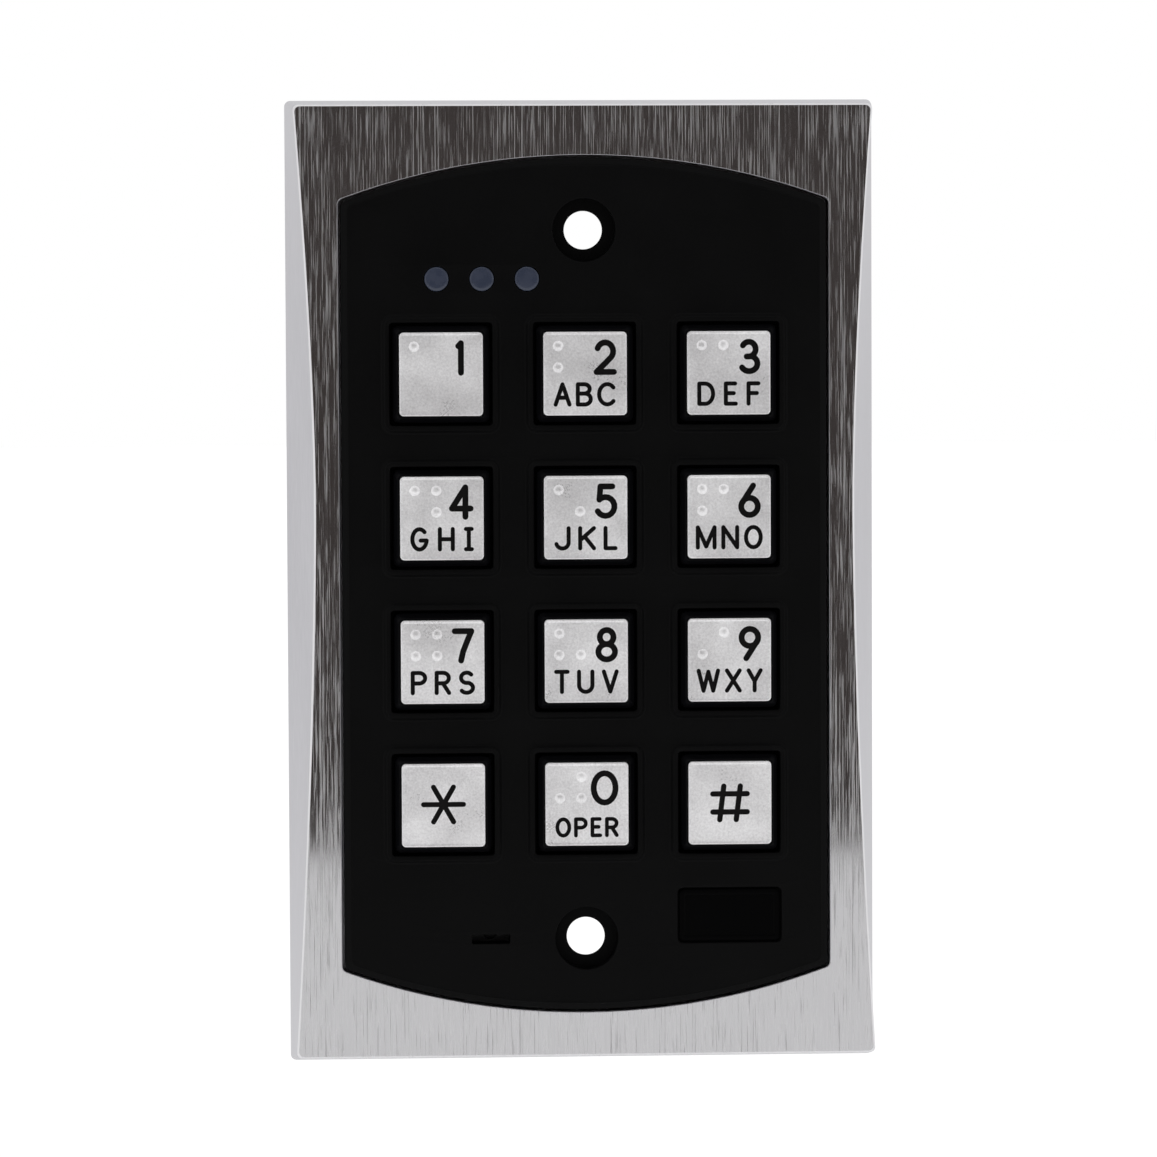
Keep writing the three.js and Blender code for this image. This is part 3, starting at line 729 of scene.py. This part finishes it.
# the glyphs' outer height, their pen's width and the top's height over the key's centre
DIGIT = dict(height=4.15, pen=0.70, top=3.98)
LETTER = dict(height=2.86, pen=0.49, top=-1.0)
SMALL_LETTER = dict(height=2.38, pen=0.45, top=-1.53)
SYMBOLS = {
    "star": dict(full_width=5.3, height=4.7, top=2.47, pen=0.6),
    "hash": dict(full_width=4.7, height=4.6, top=2.3, pen=0.64),
}
DIGIT_RIGHT = {"1": 2.67}  # the digit's right edge, where it isn't the usual one
USUAL_DIGIT_RIGHT = 3.72
USUAL_ROW_WIDTH = 7.45
LONGEST_FULL_SIZE_WORD = 3
MITRE_LIMIT = 0.5  # the least cosine that a bend's mitre is worked out for
PEN_END_STEPS = 6


def glyph_strokes(glyph, left, top, height, pen, full_width=None):
    """A glyph's (centreline, pen width) pairs. left and top are the drawn glyph's outer edges."""
    share, strokes = GLYPHS[glyph]
    width = (full_width or share * height) - pen
    tall = height - pen
    return [
        ([(left + pen / 2 + x * width, top - pen / 2 - (1 - z) * tall) for x, z in stroke], pen)
        for stroke in strokes
    ]


def legend_strokes(label):
    """(centreline, pen width) pairs for one key, relative to its centre."""
    if label in SYMBOLS:
        style = SYMBOLS[label]
        return glyph_strokes(label, -style["full_width"] / 2, **style)
    right = DIGIT_RIGHT.get(label, USUAL_DIGIT_RIGHT)
    strokes = glyph_strokes(label, right - GLYPHS[label][0] * DIGIT["height"], **DIGIT)
    word = LETTERS.get(label, "")
    style = SMALL_LETTER if len(word) > LONGEST_FULL_SIZE_WORD else LETTER
    widths = [GLYPHS[letter][0] * style["height"] for letter in word]
    row = ROW_WIDTHS.get(label, USUAL_ROW_WIDTH)
    gap = (row - sum(widths)) / (len(word) - 1) if word else 0
    left = -row / 2
    for letter, width in zip(word, widths):
        strokes += glyph_strokes(letter, left, **style)
        left += width + gap
    return strokes


def pen_outline(line, pen):
    """The outline of a round-ended stroke along a centreline."""
    points = [Vector(p) for p in line]
    headings = [(b - a).normalized() for a, b in zip(points, points[1:])]
    sides = []
    for i, point in enumerate(points):
        before = headings[max(i - 1, 0)]
        after = headings[min(i, len(headings) - 1)]
        heading = (before + after).normalized()
        reach = pen / 2 / max(heading.dot(after), MITRE_LIMIT)
        sides.append((point, Vector((-heading.y, heading.x)) * reach))
    right = [tuple(p - s) for p, s in sides]
    left = [tuple(p + s) for p, s in reversed(sides)]

    def round_end(point, heading):
        turn = math.degrees(math.atan2(heading.y, heading.x))
        return arc(point.x, point.y, pen / 2, turn - 90, turn + 90, PEN_END_STEPS)[1:-1]

    return right + round_end(points[-1], headings[-1]) + left + round_end(points[0], -headings[0])


# ---------------------------------------------------------------- keys

CAP_SIZE = 9.8
CAP_CORNER = 0.5
CAP_EDGE = 0.18
CAP_DEPTH = 0.55
RIM_HEIGHT = 0.05  # how far the cap's rim stands above its face
RIM_SLOPE = [(CAP_EDGE + 0.22, 0.0), (CAP_EDGE + 0.12, -0.01)]  # inset and depth from the face
KEY_CORNER_STEPS = 5
ENGRAVING_DEPTH = 0.22
OVERCUT = 0.3
DOT_RADIUS = 0.62
DOT_HEIGHT = 0.24
DOT_ANGLE = math.radians(50)  # of a ball, from the top of a dot to its foot
DOT_SUNK = 0.15  # how far a dot reaches below the face
DOT_STEPS = 5
DOT_SIDES = 24
# where a braille cell's upper four dots sit from the key's centre, by their usual numbers
DOT_PLACES = {"1": (-3.17, 3.25), "2": (-3.17, 0.72), "4": (-0.65, 3.25), "5": (-0.65, 0.72)}

KEY_RIM = 0.30  # the moulding's rim sits this far behind the cap's front
# side, corner radius and depth behind the rim, from under the cap over the rim to the column
KEY_PROFILE = [
    (CAP_SIZE + 0.10, CAP_CORNER, 0.30), (CAP_SIZE + 0.10, CAP_CORNER, 0.04),
    (CAP_SIZE + 0.18, CAP_CORNER, 0.0), (10.30, 0.6, 0.0), (10.42, 0.62, 0.06),
    (11.20, 0.7, 0.85), (11.34, 0.72, 1.05), (11.40, 0.72, 1.35),
]
KEY_COLUMN = (11.40, 0.72)
KEY_FLANGE = (13.40, 0.5)
KEY_FLANGE_THICKNESS = 0.8


def square(side, corner, centre):
    return rounded(side, side, corner, centre.x, centre.z, KEY_CORNER_STEPS)


def dot_mesh(centre, face, dots):
    """Low round domes, each a lens shape that reaches below the cap's face."""
    shell = Shell()
    foot_cosine = math.cos(DOT_ANGLE)
    for dot in dots:
        x, z = centre.x + DOT_PLACES[dot][0], centre.z + DOT_PLACES[dot][1]
        pairs = []
        for step in range(1, DOT_STEPS + 1):
            angle = DOT_ANGLE * step / DOT_STEPS
            rise = (math.cos(angle) - foot_cosine) / (1 - foot_cosine)
            radius = DOT_RADIUS * math.sin(angle) / math.sin(DOT_ANGLE)
            pairs.append((circle(radius, x, z, DOT_SIDES), face - DOT_HEIGHT * rise))
        pairs.append((circle(DOT_RADIUS, x, z, DOT_SIDES), face + DOT_SUNK))
        shell.solid(pairs)
    return shell.mesh("dots")


def make_cap(label):
    """The metal cap: a low rim round its face, braille dots on it and the legend cut into it."""
    node = f"key_{label}_cap"
    centre = KEY_CENTRES[label]
    front = box_mm(node)[0].y
    face = front + RIM_HEIGHT
    at = boxes(CAP_SIZE, CAP_SIZE, CAP_CORNER, centre.x, centre.z, corner_steps=KEY_CORNER_STEPS)
    pairs = along(at, RIM_SLOPE, face) + round_over(at, front, CAP_EDGE, steps=5)
    pairs.append((at(0), front + CAP_DEPTH))
    mesh = Shell().solid(pairs).mesh("cap", FINISHES["key_metal"])
    if label in BRAILLE:
        mesh = combined(mesh, dot_mesh(centre, face, BRAILLE[label]), "UNION", FINISHES["key_metal"])
    outlines = [
        [(centre.x + x, centre.z + z) for x, z in pen_outline(line, pen)]
        for line, pen in legend_strokes(label)
    ]
    mesh = cut(mesh, outlines, front - OVERCUT, face + ENGRAVING_DEPTH, INK)
    stand_in(f"key_{label}_face", mesh, node, f"key_{label}")


def make_key_body(label):
    """The black plastic key: a rim round the cap, a bevelled shoulder, a column and a flange."""
    node = f"key_{label}_body"
    centre = KEY_CENTRES[label]
    back = box_mm(node)[1].y
    rim = box_mm(f"key_{label}_cap")[0].y + KEY_RIM
    pairs = [(square(side, corner, centre), rim + depth) for side, corner, depth in KEY_PROFILE]
    pairs += [
        (square(*KEY_COLUMN, centre), back - KEY_FLANGE_THICKNESS),
        (square(*KEY_FLANGE, centre), back - KEY_FLANGE_THICKNESS),
        (square(*KEY_FLANGE, centre), back),
    ]
    mesh = Shell().solid(pairs).mesh(f"key_{label}_moulding", FINISHES["key_plastic"])
    stand_in(f"key_{label}_moulding", mesh, node, f"key_{label}")


for key_label in KEY_LABELS:
    make_cap(key_label)
    make_key_body(key_label)

# ---------------------------------------------------------------- faceplate

# the rim of the face, from the face outwards and back: inset and depth
FACE_RIM = [
    (0.94, 0.0), (0.87, -0.03), (0.79, -0.04), (0.71, -0.02), (0.65, 0.04), (0.14, 0.26), (0.04, 0.33),
    (0.0, 0.45),
]
KEY_APERTURE = 12.0
APERTURE_CORNER = 0.35
# the soft raised frame round a key, from the face inwards: offset from the aperture and depth
FRAME_PROFILE = [
    (1.12, 0.0), (0.94, -0.05), (0.80, -0.20), (0.68, -0.40), (0.54, -0.50), (0.20, -0.50),
    (0.06, -0.44), (0.0, -0.30),
]
MOUNT_Z = 41.67
MOUNT_WELL = dict(radius=3.7, depth=2.3, edge=0.15, sides=64)
# the screw hole: radius and depth from the well's floor, out to the wide bore in the post behind
MOUNT_HOLE = [(2.33, 0.0), (2.25, 0.08), (2.25, 0.3), (2.45, 0.9), (3.3, 0.9)]
POST_RADIUS = 4.7
POST_BACK = -0.1
POST_END = [(POST_RADIUS, -0.2), (POST_RADIUS - 0.2, 0.0)]  # radius, and depth from the post's back
INDICATORS = ("left", "middle", "right")
INDICATOR_HOLE = 1.5
SLOT = (4.5, 1.1, 0.2, -11.3, -41.7)  # width, height, corner, x and z
HOLE_EDGE = 0.12
BADGE = (12.3, 6.55, 0.6)  # width, height and corner
BADGE_DEPTH = 0.9
BADGE_EDGE = 0.15
FIXINGS = [(x, z) for x in (-22.0, 22.0) for z in (35.4, -35.4)]
STANDOFF = dict(radius=2.5, bore=1.25, back=-3.65, bore_front=-8.1, sides=32)


def edged_hole(shell, outline_at, edge, back):
    """A hole with a rounded front edge: its rings from front to back."""
    round_edge = round_over(outline_at, FACE_FRONT, edge, inwards=-1, steps=3)
    return shell.rings(round_edge + [(outline_at(0), back)])


def key_hole(shell, centre):
    """The raised frame round one key, then the aperture's wall."""

    def grown(offset):
        return square(KEY_APERTURE + 2 * offset, APERTURE_CORNER + offset, centre)

    return shell.rings(along(grown, FRAME_PROFILE, FACE_FRONT) + [(grown(0), FACE_BACK)])


def indicator_hole(shell, side):
    lens = centre_mm(f"indicator_lens_{side}")
    return edged_hole(shell, lambda e: circle(INDICATOR_HOLE - e, lens.x, lens.z), HOLE_EDGE, FACE_BACK)


def mount_hole(shell, z):
    """A counterbored screw hole in a post behind the face. Returns its front and back loops."""
    floor = FACE_FRONT + MOUNT_WELL["depth"]
    at = discs(0, z, MOUNT_WELL["sides"])
    well = edged_hole(shell, lambda e: at(MOUNT_WELL["radius"] - e), MOUNT_WELL["edge"], floor)
    hole = shell.rings(along(at, MOUNT_HOLE, floor) + [(at(MOUNT_HOLE[-1][0]), POST_BACK)])
    post = shell.rings([(at(POST_RADIUS), FACE_BACK)] + along(at, POST_END, POST_BACK))
    shell.skin([hole[0]] + well[::-1])
    shell.skin(hole[::-1])
    shell.skin(post)
    shell.skin([post[-1], hole[-1]])
    return well[0], post[0]


def standoff(shell, x, z):
    """A post for a housing screw, with a blind bore. Returns the loop at its foot."""
    wall = circle(STANDOFF["radius"], x, z, STANDOFF["sides"])
    bore = circle(STANDOFF["bore"], x, z, STANDOFF["sides"])
    rings = shell.rings([
        (wall, FACE_BACK), (wall, STANDOFF["back"]), (bore, STANDOFF["back"]),
        (bore, STANDOFF["bore_front"]),
    ])
    shell.skin(rings)
    shell.cap([rings[-1]], front=False)
    return rings[0]


def make_faceplate():
    """The black insert: a raised rim, key frames, holes, the label's recess, screw posts and standoffs."""
    shell = Shell()
    rim = shell.rings(along(FACE.at, FACE_RIM, FACE_FRONT) + [(FACE.at(0.0), FACE_BACK)])
    holes = [key_hole(shell, centre) for centre in KEY_CENTRES.values()]
    holes += [indicator_hole(shell, side) for side in INDICATORS]
    holes.append(edged_hole(shell, boxes(*SLOT), HOLE_EDGE, FACE_BACK))
    front_loops = [rim[0]] + [rings[0] for rings in holes]
    back_loops = [rim[-1]] + [rings[-1] for rings in holes]
    shell.skin(rim)
    for rings in holes:
        shell.skin(rings[::-1])

    badge = centre_mm("label_plate")
    recess = edged_hole(shell, boxes(*BADGE, badge.x, badge.z), BADGE_EDGE, FACE_FRONT + BADGE_DEPTH)
    shell.skin(recess[::-1])
    shell.cap([recess[-1]], front=True)
    front_loops.append(recess[0])

    for z in (MOUNT_Z, -MOUNT_Z):
        front_loop, back_loop = mount_hole(shell, z)
        front_loops.append(front_loop)
        back_loops.append(back_loop)
    back_loops += [standoff(shell, x, z) for x, z in FIXINGS]

    shell.cap(front_loops, front=True)
    shell.cap(back_loops, front=False)
    mesh = shell.mesh("faceplate_moulding", FINISHES["face_plastic"])
    stand_in("faceplate_moulding", mesh, "faceplate")


make_faceplate()

# ---------------------------------------------------------------- light pipes and label

LENS_SIDES = 64
LENS_DOME = [(0.5, -0.02), (1.0, 0.0), (1.3, 0.04), (1.42, 0.12), (1.45, 0.25)]  # radius and depth
LENS_FLANGE = [(1.45, -0.6), (2.1, -0.6), (2.1, 0.0)]  # radius, and depth from the back
LABEL_CORNER = 0.6
LABEL_LEAST_CORNER = 0.1
# inset and depth, from the sunk middle over the border to the side
LABEL_PROFILE = [(0.75, 0.12), (0.65, 0.02), (0.55, 0.0), (0.15, 0.0), (0.04, 0.04), (0.0, 0.15)]


def make_lens(side):
    """A light pipe: a slightly domed front, a stem and a flange behind the faceplate."""
    node = f"indicator_lens_{side}"
    low, high = box_mm(node)
    centre = (low + high) / 2
    at = discs(centre.x, centre.z, LENS_SIDES)
    pairs = along(at, LENS_DOME, low.y) + along(at, LENS_FLANGE, high.y)
    mesh = Shell().solid(pairs).mesh(f"light_pipe_{side}", FINISHES["smoked_lens"])
    stand_in(f"light_pipe_{side}", mesh, node)


for indicator_side in INDICATORS:
    make_lens(indicator_side)


def make_label():
    """A blank label plate with a thin raised border, where the real one carries a mark."""
    low, high = box_mm("label_plate")
    centre = (low + high) / 2
    size = high - low
    at = boxes(size.x, size.z, LABEL_CORNER, centre.x, centre.z, LABEL_LEAST_CORNER)
    pairs = along(at, LABEL_PROFILE, low.y) + [(at(0), high.y)]
    mesh = Shell().solid(pairs).mesh("label_blank", LABEL_PLASTIC)
    stand_in("label_blank", mesh, "label_plate")


make_label()

# ---------------------------------------------------------------- keypad mat

DOME_HEIGHT = 1.9
DOME_SIDES = 40
# radius and depth behind the dome's top; the last row is the foot, sunk into the sheet
DOME_PROFILE = [
    (2.5, 0.0), (2.85, 0.05), (3.0, 0.2), (3.25, 0.9), (3.7, 1.5), (4.2, DOME_HEIGHT), (4.2, 2.0),
]
SHEET_CORNER = 2.0
SHEET_BEAD = [(1.2, 0.15), (1.0, 0.0), (0.2, 0.0), (0.06, 0.06), (0.0, 0.2)]  # inset and depth
mat_low, mat_high = box_mm("keypad_mat")
SHEET_FRONT = mat_low.y + DOME_HEIGHT


def make_mat_sheet():
    """The flat silicone sheet, with a raised bead round its edge."""
    size = mat_high - mat_low
    middle = (mat_low + mat_high) / 2

    def at(inset):
        corner = SHEET_CORNER - inset / 2
        return rounded(size.x - 2 * inset, size.z - 2 * inset, corner, middle.x, middle.z)

    pairs = along(at, SHEET_BEAD, SHEET_FRONT) + [(at(0), mat_high.y)]
    mesh = Shell().solid(pairs).mesh("mat_sheet", FINISHES["silicone"])
    stand_in("mat_sheet", mesh, "keypad_mat")


def make_dome(label):
    """One collapsible dome of the mat, in its rest shape."""
    name = f"mat_dome_{label}"
    centre = KEY_CENTRES[label]
    pairs = along(discs(centre.x, centre.z, DOME_SIDES), DOME_PROFILE, mat_low.y)
    piece = piece_from(name, Shell().solid(pairs).mesh(name, FINISHES["silicone"]))
    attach(piece, "root")
    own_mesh(piece)


make_mat_sheet()
for key_label in KEY_LABELS:
    make_dome(key_label)

# ---------------------------------------------------------------- rear housing

TUB = (44.0, 62.0, 2.0)  # width, height and corner
TUB_LEAST_CORNER = 0.4
TUB_WALL = 1.8
TUB_FOOT = 0.6
TUB_DRAFT = 0.4
TUB_EDGE = 1.1
CAVITY_CORNER = 1.0
FLANGE = dict(width=48.8, height=76.4, corner=2.0, back=0.6)
FLANGE_EDGE = [(0.0, -0.25), (0.08, -0.07), (0.25, 0.0)]  # inset, and depth from the flange's back
POST_NOTCH = 5.1
NOTCH_STEPS = 14
FIXING_CLEARANCE = 1.45
TERMINAL = dict(z=-17.5, width=30.4, height=10.0, pitch=5.0, poles=6)
WINDOW_GAP = 0.3
WINDOW_CORNER = 0.5
WINDOW_FLARE = 0.3
BOARD_REST = dict(x=17.2, z=26.0, radius=2.2, front=4.65)
REAR_LABEL = (30.0, 19.0, 1.0, 0.0, 12.0)  # width, height, corner, x and z
REAR_LABEL_STEP = [(0.1, -0.3), (0.0, -0.22), (0.0, 0.0)]  # inset, and depth from the housing's back
POST_SIDES = 24
housing_low, housing_high = box_mm("rear_housing")


def flange_outline(inset):
    """The housing's flange: a rounded rectangle notched round each screw post."""
    half_width = FLANGE["width"] / 2 - inset
    half_height = FLANGE["height"] / 2 - inset
    corner = FLANGE["corner"] - inset
    notch = POST_NOTCH + inset
    lean = math.degrees(math.asin((MOUNT_Z - half_height) / notch))
    right, top = half_width - corner, half_height - corner
    half = arc(right, -top, corner, -90, 0, CORNER_STEPS) + arc(right, top, corner, 0, 90, CORNER_STEPS)
    half += arc(0, MOUNT_Z, notch, -lean, lean - 180, NOTCH_STEPS)
    return half + [(-x, -z) for x, z in half]


def straight_wall(shell, outline, front, back):
    return shell.rings([(outline, front), (outline, back)])


def make_housing():
    """The rear housing: a notched flange and a hollow tub with a terminal window in its back."""
    shell = Shell()
    front, back = housing_low.y, housing_high.y
    inner_back = back - TUB_WALL
    flange = shell.rings([(flange_outline(0), front)] + along(flange_outline, FLANGE_EDGE, FLANGE["back"]))
    shell.skin(flange)
    tub_at = boxes(*TUB, least=TUB_LEAST_CORNER, corner_steps=8)
    foot = round_over(tub_at, FLANGE["back"], TUB_FOOT, inwards=-1, steps=3)
    end = round_over(lambda e: tub_at(TUB_DRAFT + e), back, TUB_EDGE, towards=-1, steps=5)
    tub = shell.rings(foot + end[::-1])
    shell.skin(tub)
    fixings = [
        straight_wall(shell, circle(FIXING_CLEARANCE, x, z, POST_SIDES), front, FLANGE["back"])
        for x, z in FIXINGS
    ]
    for rings in fixings:
        shell.skin(rings[::-1])
    shell.cap([flange[-1], tub[0]] + [rings[1] for rings in fixings], front=False)

    window_at = boxes(TERMINAL["width"], TERMINAL["height"], WINDOW_CORNER - WINDOW_GAP, 0, TERMINAL["z"])
    opening = shell.rings([
        (window_at(-WINDOW_GAP), inner_back), (window_at(-WINDOW_GAP), back - WINDOW_FLARE),
        (window_at(-WINDOW_GAP - WINDOW_FLARE), back),
    ])
    shell.skin(opening[::-1])
    recess = shell.rings(along(boxes(*REAR_LABEL), REAR_LABEL_STEP, back))
    shell.skin(recess[::-1])
    shell.cap([recess[0]], front=False)
    shell.cap([tub[-1], opening[-1], recess[-1]], front=False)

    hollow = rounded(TUB[0] - 2 * TUB_WALL, TUB[1] - 2 * TUB_WALL, CAVITY_CORNER)
    cavity = straight_wall(shell, hollow, front, inner_back)
    shell.skin(cavity[::-1])
    rests = []
    for x in (-BOARD_REST["x"], BOARD_REST["x"]):
        for z in (-BOARD_REST["z"], BOARD_REST["z"]):
            outline = circle(BOARD_REST["radius"], x, z, POST_SIDES)
            rest = straight_wall(shell, outline, BOARD_REST["front"], inner_back)
            shell.cap([rest[0]], front=True)
            shell.skin(rest)
            rests.append(rest[1])
    shell.cap([cavity[1], opening[0]] + rests, front=True)
    shell.cap([flange[0], cavity[0]] + [rings[0] for rings in fixings], front=True)
    mesh = shell.mesh("housing_moulding", FINISHES["housing_plastic"])
    stand_in("housing_moulding", mesh, "rear_housing")


make_housing()

# ---------------------------------------------------------------- housing screws and terminals

SHANK = 1.15
THREAD_ROOT = SHANK - 0.2
THREAD_PITCH = 0.9
THREAD_FORM = [(THREAD_ROOT, 0.35), (SHANK, 0.5), (THREAD_ROOT, 0.65)]  # radius, and share of a pitch
SCREW_POINT = 0.5
TIP_RADIUS = SHANK * 0.55
HEAD_HEIGHT = 1.35
# radius and depth from the seat, from the shank out over the head
HEAD_PROFILE = [
    (THREAD_ROOT, 0.0), (2.12, 0.0), (2.2, 0.08), (2.2, 0.55), (2.112, 0.78), (1.848, 1.02), (1.364, 1.22),
    (0.77, 1.32), (0.264, HEAD_HEIGHT),
]
CROSS = dict(reach=1.15, width=0.5, depth=0.9)
DRIVE_SLOT = dict(width=0.7, corner=0.05, depth=0.8)
DRIVE_OVERCUT = 0.5


def cross_outline(centre, reach, width):
    """A cross for a screw's drive."""
    half = width / 2
    points = []
    for turn in range(4):
        sine, cosine = math.sin(math.radians(90 * turn)), math.cos(math.radians(90 * turn))
        points += [
            (centre.x + x * cosine - z * sine, centre.z + x * sine + z * cosine)
            for x, z in ((reach, -half), (reach, half), (half, half))
        ]
    return points


def make_screw(node, centre, profile, drive, drive_depth):
    """A screw turned from (radius, y) pairs, with a drive cut into its head. Heads face the rear."""
    back = box_mm(node)[1].y
    mesh = Shell().solid(along(discs(centre.x, centre.z), profile)).mesh("screw", FINISHES["plated_steel"])
    mesh = cut(mesh, [drive], back - drive_depth, back + DRIVE_OVERCUT, FINISHES["plated_steel"])
    stand_in(f"{node}_turned", mesh, node)


def make_housing_screw(index):
    """A pan-head thread-forming screw with a cross drive."""
    node = f"housing_screw_{index}"
    low, high = box_mm(node)
    centre = (low + high) / 2
    seat = high.y - HEAD_HEIGHT
    y = low.y + SCREW_POINT
    profile = [(TIP_RADIUS, low.y), (THREAD_ROOT, y)]
    while y + THREAD_PITCH < seat:
        profile += [(radius, y + share * THREAD_PITCH) for radius, share in THREAD_FORM]
        y += THREAD_PITCH
    profile += [(radius, seat + depth) for radius, depth in HEAD_PROFILE]
    drive = cross_outline(centre, CROSS["reach"], CROSS["width"])
    make_screw(node, centre, profile, drive, CROSS["depth"])


def make_terminal_screw(index):
    """A slotted clamp screw at the bottom of its well."""
    node = f"terminal_screw_{index}"
    low, high = box_mm(node)
    centre = (low + high) / 2
    radius = (high.x - low.x) / 2
    profile = [
        (radius - 0.1, low.y), (radius, low.y + 0.1), (radius, high.y - 0.25),
        (radius - 0.07, high.y - 0.07), (radius - 0.25, high.y), (radius * 0.3, high.y),
    ]
    drive = rounded(
        2 * radius + 1, DRIVE_SLOT["width"], DRIVE_SLOT["corner"], centre.x, centre.z, corner_steps=1,
    )
    make_screw(node, centre, profile, drive, DRIVE_SLOT["depth"])


BLOCK_CORNER = 0.4
BLOCK_BACK_EDGE = [(0.0, -0.6), (0.12, -0.2), (0.4, 0.0)]  # inset, and depth from the block's back
WELL = dict(radius=2.0, depth=2.6, sides=40)
WIRE_ENTRY = dict(width=3.4, depth=5.0, front=18.6, back=21.6, flare=0.35)
GROOVE = dict(width=0.35, depth=0.35, front=8.0)  # front is how far behind the block's front it starts
BLOCK_OVERCUT = 1.0  # how far cuts run past the block's surface


def make_terminal_block():
    """The six-pole block: screw wells behind, flared wire entries below, grooves between the poles."""
    low, high = box_mm("terminal_block")
    middle = (low + high) / 2
    width, height = high.x - low.x, high.z - low.z
    poles = [(index - (TERMINAL["poles"] - 1) / 2) * TERMINAL["pitch"] for index in range(TERMINAL["poles"])]
    between = [(a + b) / 2 for a, b in zip(poles, poles[1:])]
    past_back = high.y + BLOCK_OVERCUT
    flare = WIRE_ENTRY["flare"]

    def at(inset):
        return rounded(width - 2 * inset, height - 2 * inset, BLOCK_CORNER, 0, middle.z, corner_steps=3)

    def bars(places, bar_width, bar_height, z, corner=0.05, corner_steps=1):
        return [rounded(bar_width, bar_height, corner, x, z, corner_steps=corner_steps) for x in places]

    pairs = [(at(0), low.y)] + along(at, BLOCK_BACK_EDGE, high.y)
    mesh = Shell().solid(pairs).mesh("block", FINISHES["terminal_plastic"])
    wells = [circle(WELL["radius"], x, middle.z, WELL["sides"]) for x in poles]
    entries = bars(poles, WIRE_ENTRY["width"], 2 * WIRE_ENTRY["depth"], low.z, 0.2, 2)
    mouths = bars(poles, WIRE_ENTRY["width"] + 2 * flare, 2 * flare, low.z)
    lower_grooves = bars(between, GROOVE["width"], 2 * GROOVE["depth"], low.z)
    back_grooves = bars(between, GROOVE["width"], height + 2 * BLOCK_OVERCUT, middle.z)
    for outlines, front, back in (
        (wells, high.y - WELL["depth"], past_back),
        (entries, WIRE_ENTRY["front"], WIRE_ENTRY["back"]),
        (mouths, WIRE_ENTRY["front"] - flare, WIRE_ENTRY["back"] + flare),
        (lower_grooves, low.y + GROOVE["front"], past_back),
        (back_grooves, high.y - GROOVE["depth"], past_back),
    ):
        mesh = cut(mesh, outlines, front, back, FINISHES["terminal_plastic"])
    stand_in("terminal_moulding", mesh, "terminal_block")


for screw_number in range(1, len(FIXINGS) + 1):
    make_housing_screw(screw_number)
for screw_number in range(1, TERMINAL["poles"] + 1):
    make_terminal_screw(screw_number)
make_terminal_block()

# ---------------------------------------------------------------- carried-over nodes

# how far each node's sharp edges are broken
EDGE_BREAK = {
    "wall_gasket": 0.25, "face_seal": 0.05, "keypad_board": 0.06, "keypad_backplate": 0.12, "sounder": 0.2,
    "main_board": 0.06, "relay": 0.35, "controller_chip": 0.1, "link_header": 0.1, "link_socket": 0.1,
}
SHARP_FROM = math.radians(40)


def finish_nodes():
    """Gives every CAD node its slot's finish, and breaks the sharp edges of those that stay."""
    for part in frame["record"]["subparts"]:
        node = frame["nodes"][part["node"]]
        for slot in node.material_slots:
            slot.material = FINISHES[part["material_slot"]]
        if part["node"] in EDGE_BREAK:
            bevel = node.modifiers.new("edge_break", "BEVEL")
            bevel.width = EDGE_BREAK[part["node"]] * MM
            bevel.segments = 2
            bevel.limit_method = "ANGLE"
            bevel.angle_limit = SHARP_FROM


finish_nodes()

# ---------------------------------------------------------------- floor and light


def stage_plane(name, size, location, rotation, material):
    """A flat rectangle that belongs to the studio. rotation is in degrees."""
    mesh = bpy.data.meshes.new(name)
    half_x, half_y = size[0] / 2, size[1] / 2
    mesh.from_pydata(
        [(-half_x, -half_y, 0), (half_x, -half_y, 0), (half_x, half_y, 0), (-half_x, half_y, 0)],
        [], [(0, 1, 2, 3)],
    )
    mesh.materials.append(material)
    plane = bpy.data.objects.new(name, mesh)
    plane.location = location
    plane.rotation_euler = Euler([math.radians(a) for a in rotation])
    bpy.context.collection.objects.link(plane)
    return plane


def plain(name, colour, glow):
    """An even matt colour that also gives off a little light."""
    surface = Surface(name, Base_Color=(*colour, 1), Roughness=0.7)
    surface.bsdf.inputs["Emission Color"].default_value = (*glow, 1)
    surface.bsdf.inputs["Emission Strength"].default_value = 1.0
    return surface.material


FLOOR_SIZE = 8
FLOOR_DROP = 0.05  # the part hangs clear of the floor, as it does on a wall
FLAG_DISTANCE = 0.30
FLAG_TOP = 0.30  # the flag's upper edge above the object's centre
FLAG_FOOT = -0.061  # its lower edge, which sets how far up the bright floor shows in the metal
FLAG_HALF_WIDTH = 0.24

stage_plane(
    "floor", (FLOOR_SIZE, FLOOR_SIZE), (0, 0, cad_bounds[0][2] - FLOOR_DROP), (0, 0, 0),
    plain("floor", (0.8, 0.8, 0.8), (0.25, 0.25, 0.25)),
)
# A dark flag in front, as a studio sets one against glare. The camera, matt surfaces and shadows miss it.
flag = stage_plane(
    "flag", (2 * FLAG_HALF_WIDTH, FLAG_TOP - FLAG_FOOT),
    (0, -FLAG_DISTANCE, (FLAG_TOP + FLAG_FOOT) / 2), (90, 0, 0),
    plain("flag", (0.01, 0.009, 0.009), (0.038, 0.028, 0.024)),
)
flag.visible_camera = False
flag.visible_diffuse = False
flag.visible_shadow = False

world = bpy.data.worlds.new("studio")
bpy.context.scene.world = world
world.use_nodes = True
world.node_tree.nodes["Background"].inputs["Color"].default_value = (1, 1, 1, 1)
world.node_tree.nodes["Background"].inputs["Strength"].default_value = 1.0

bpy.context.scene.view_settings.view_transform = "Standard"
bpy.context.scene.view_settings.look = "None"
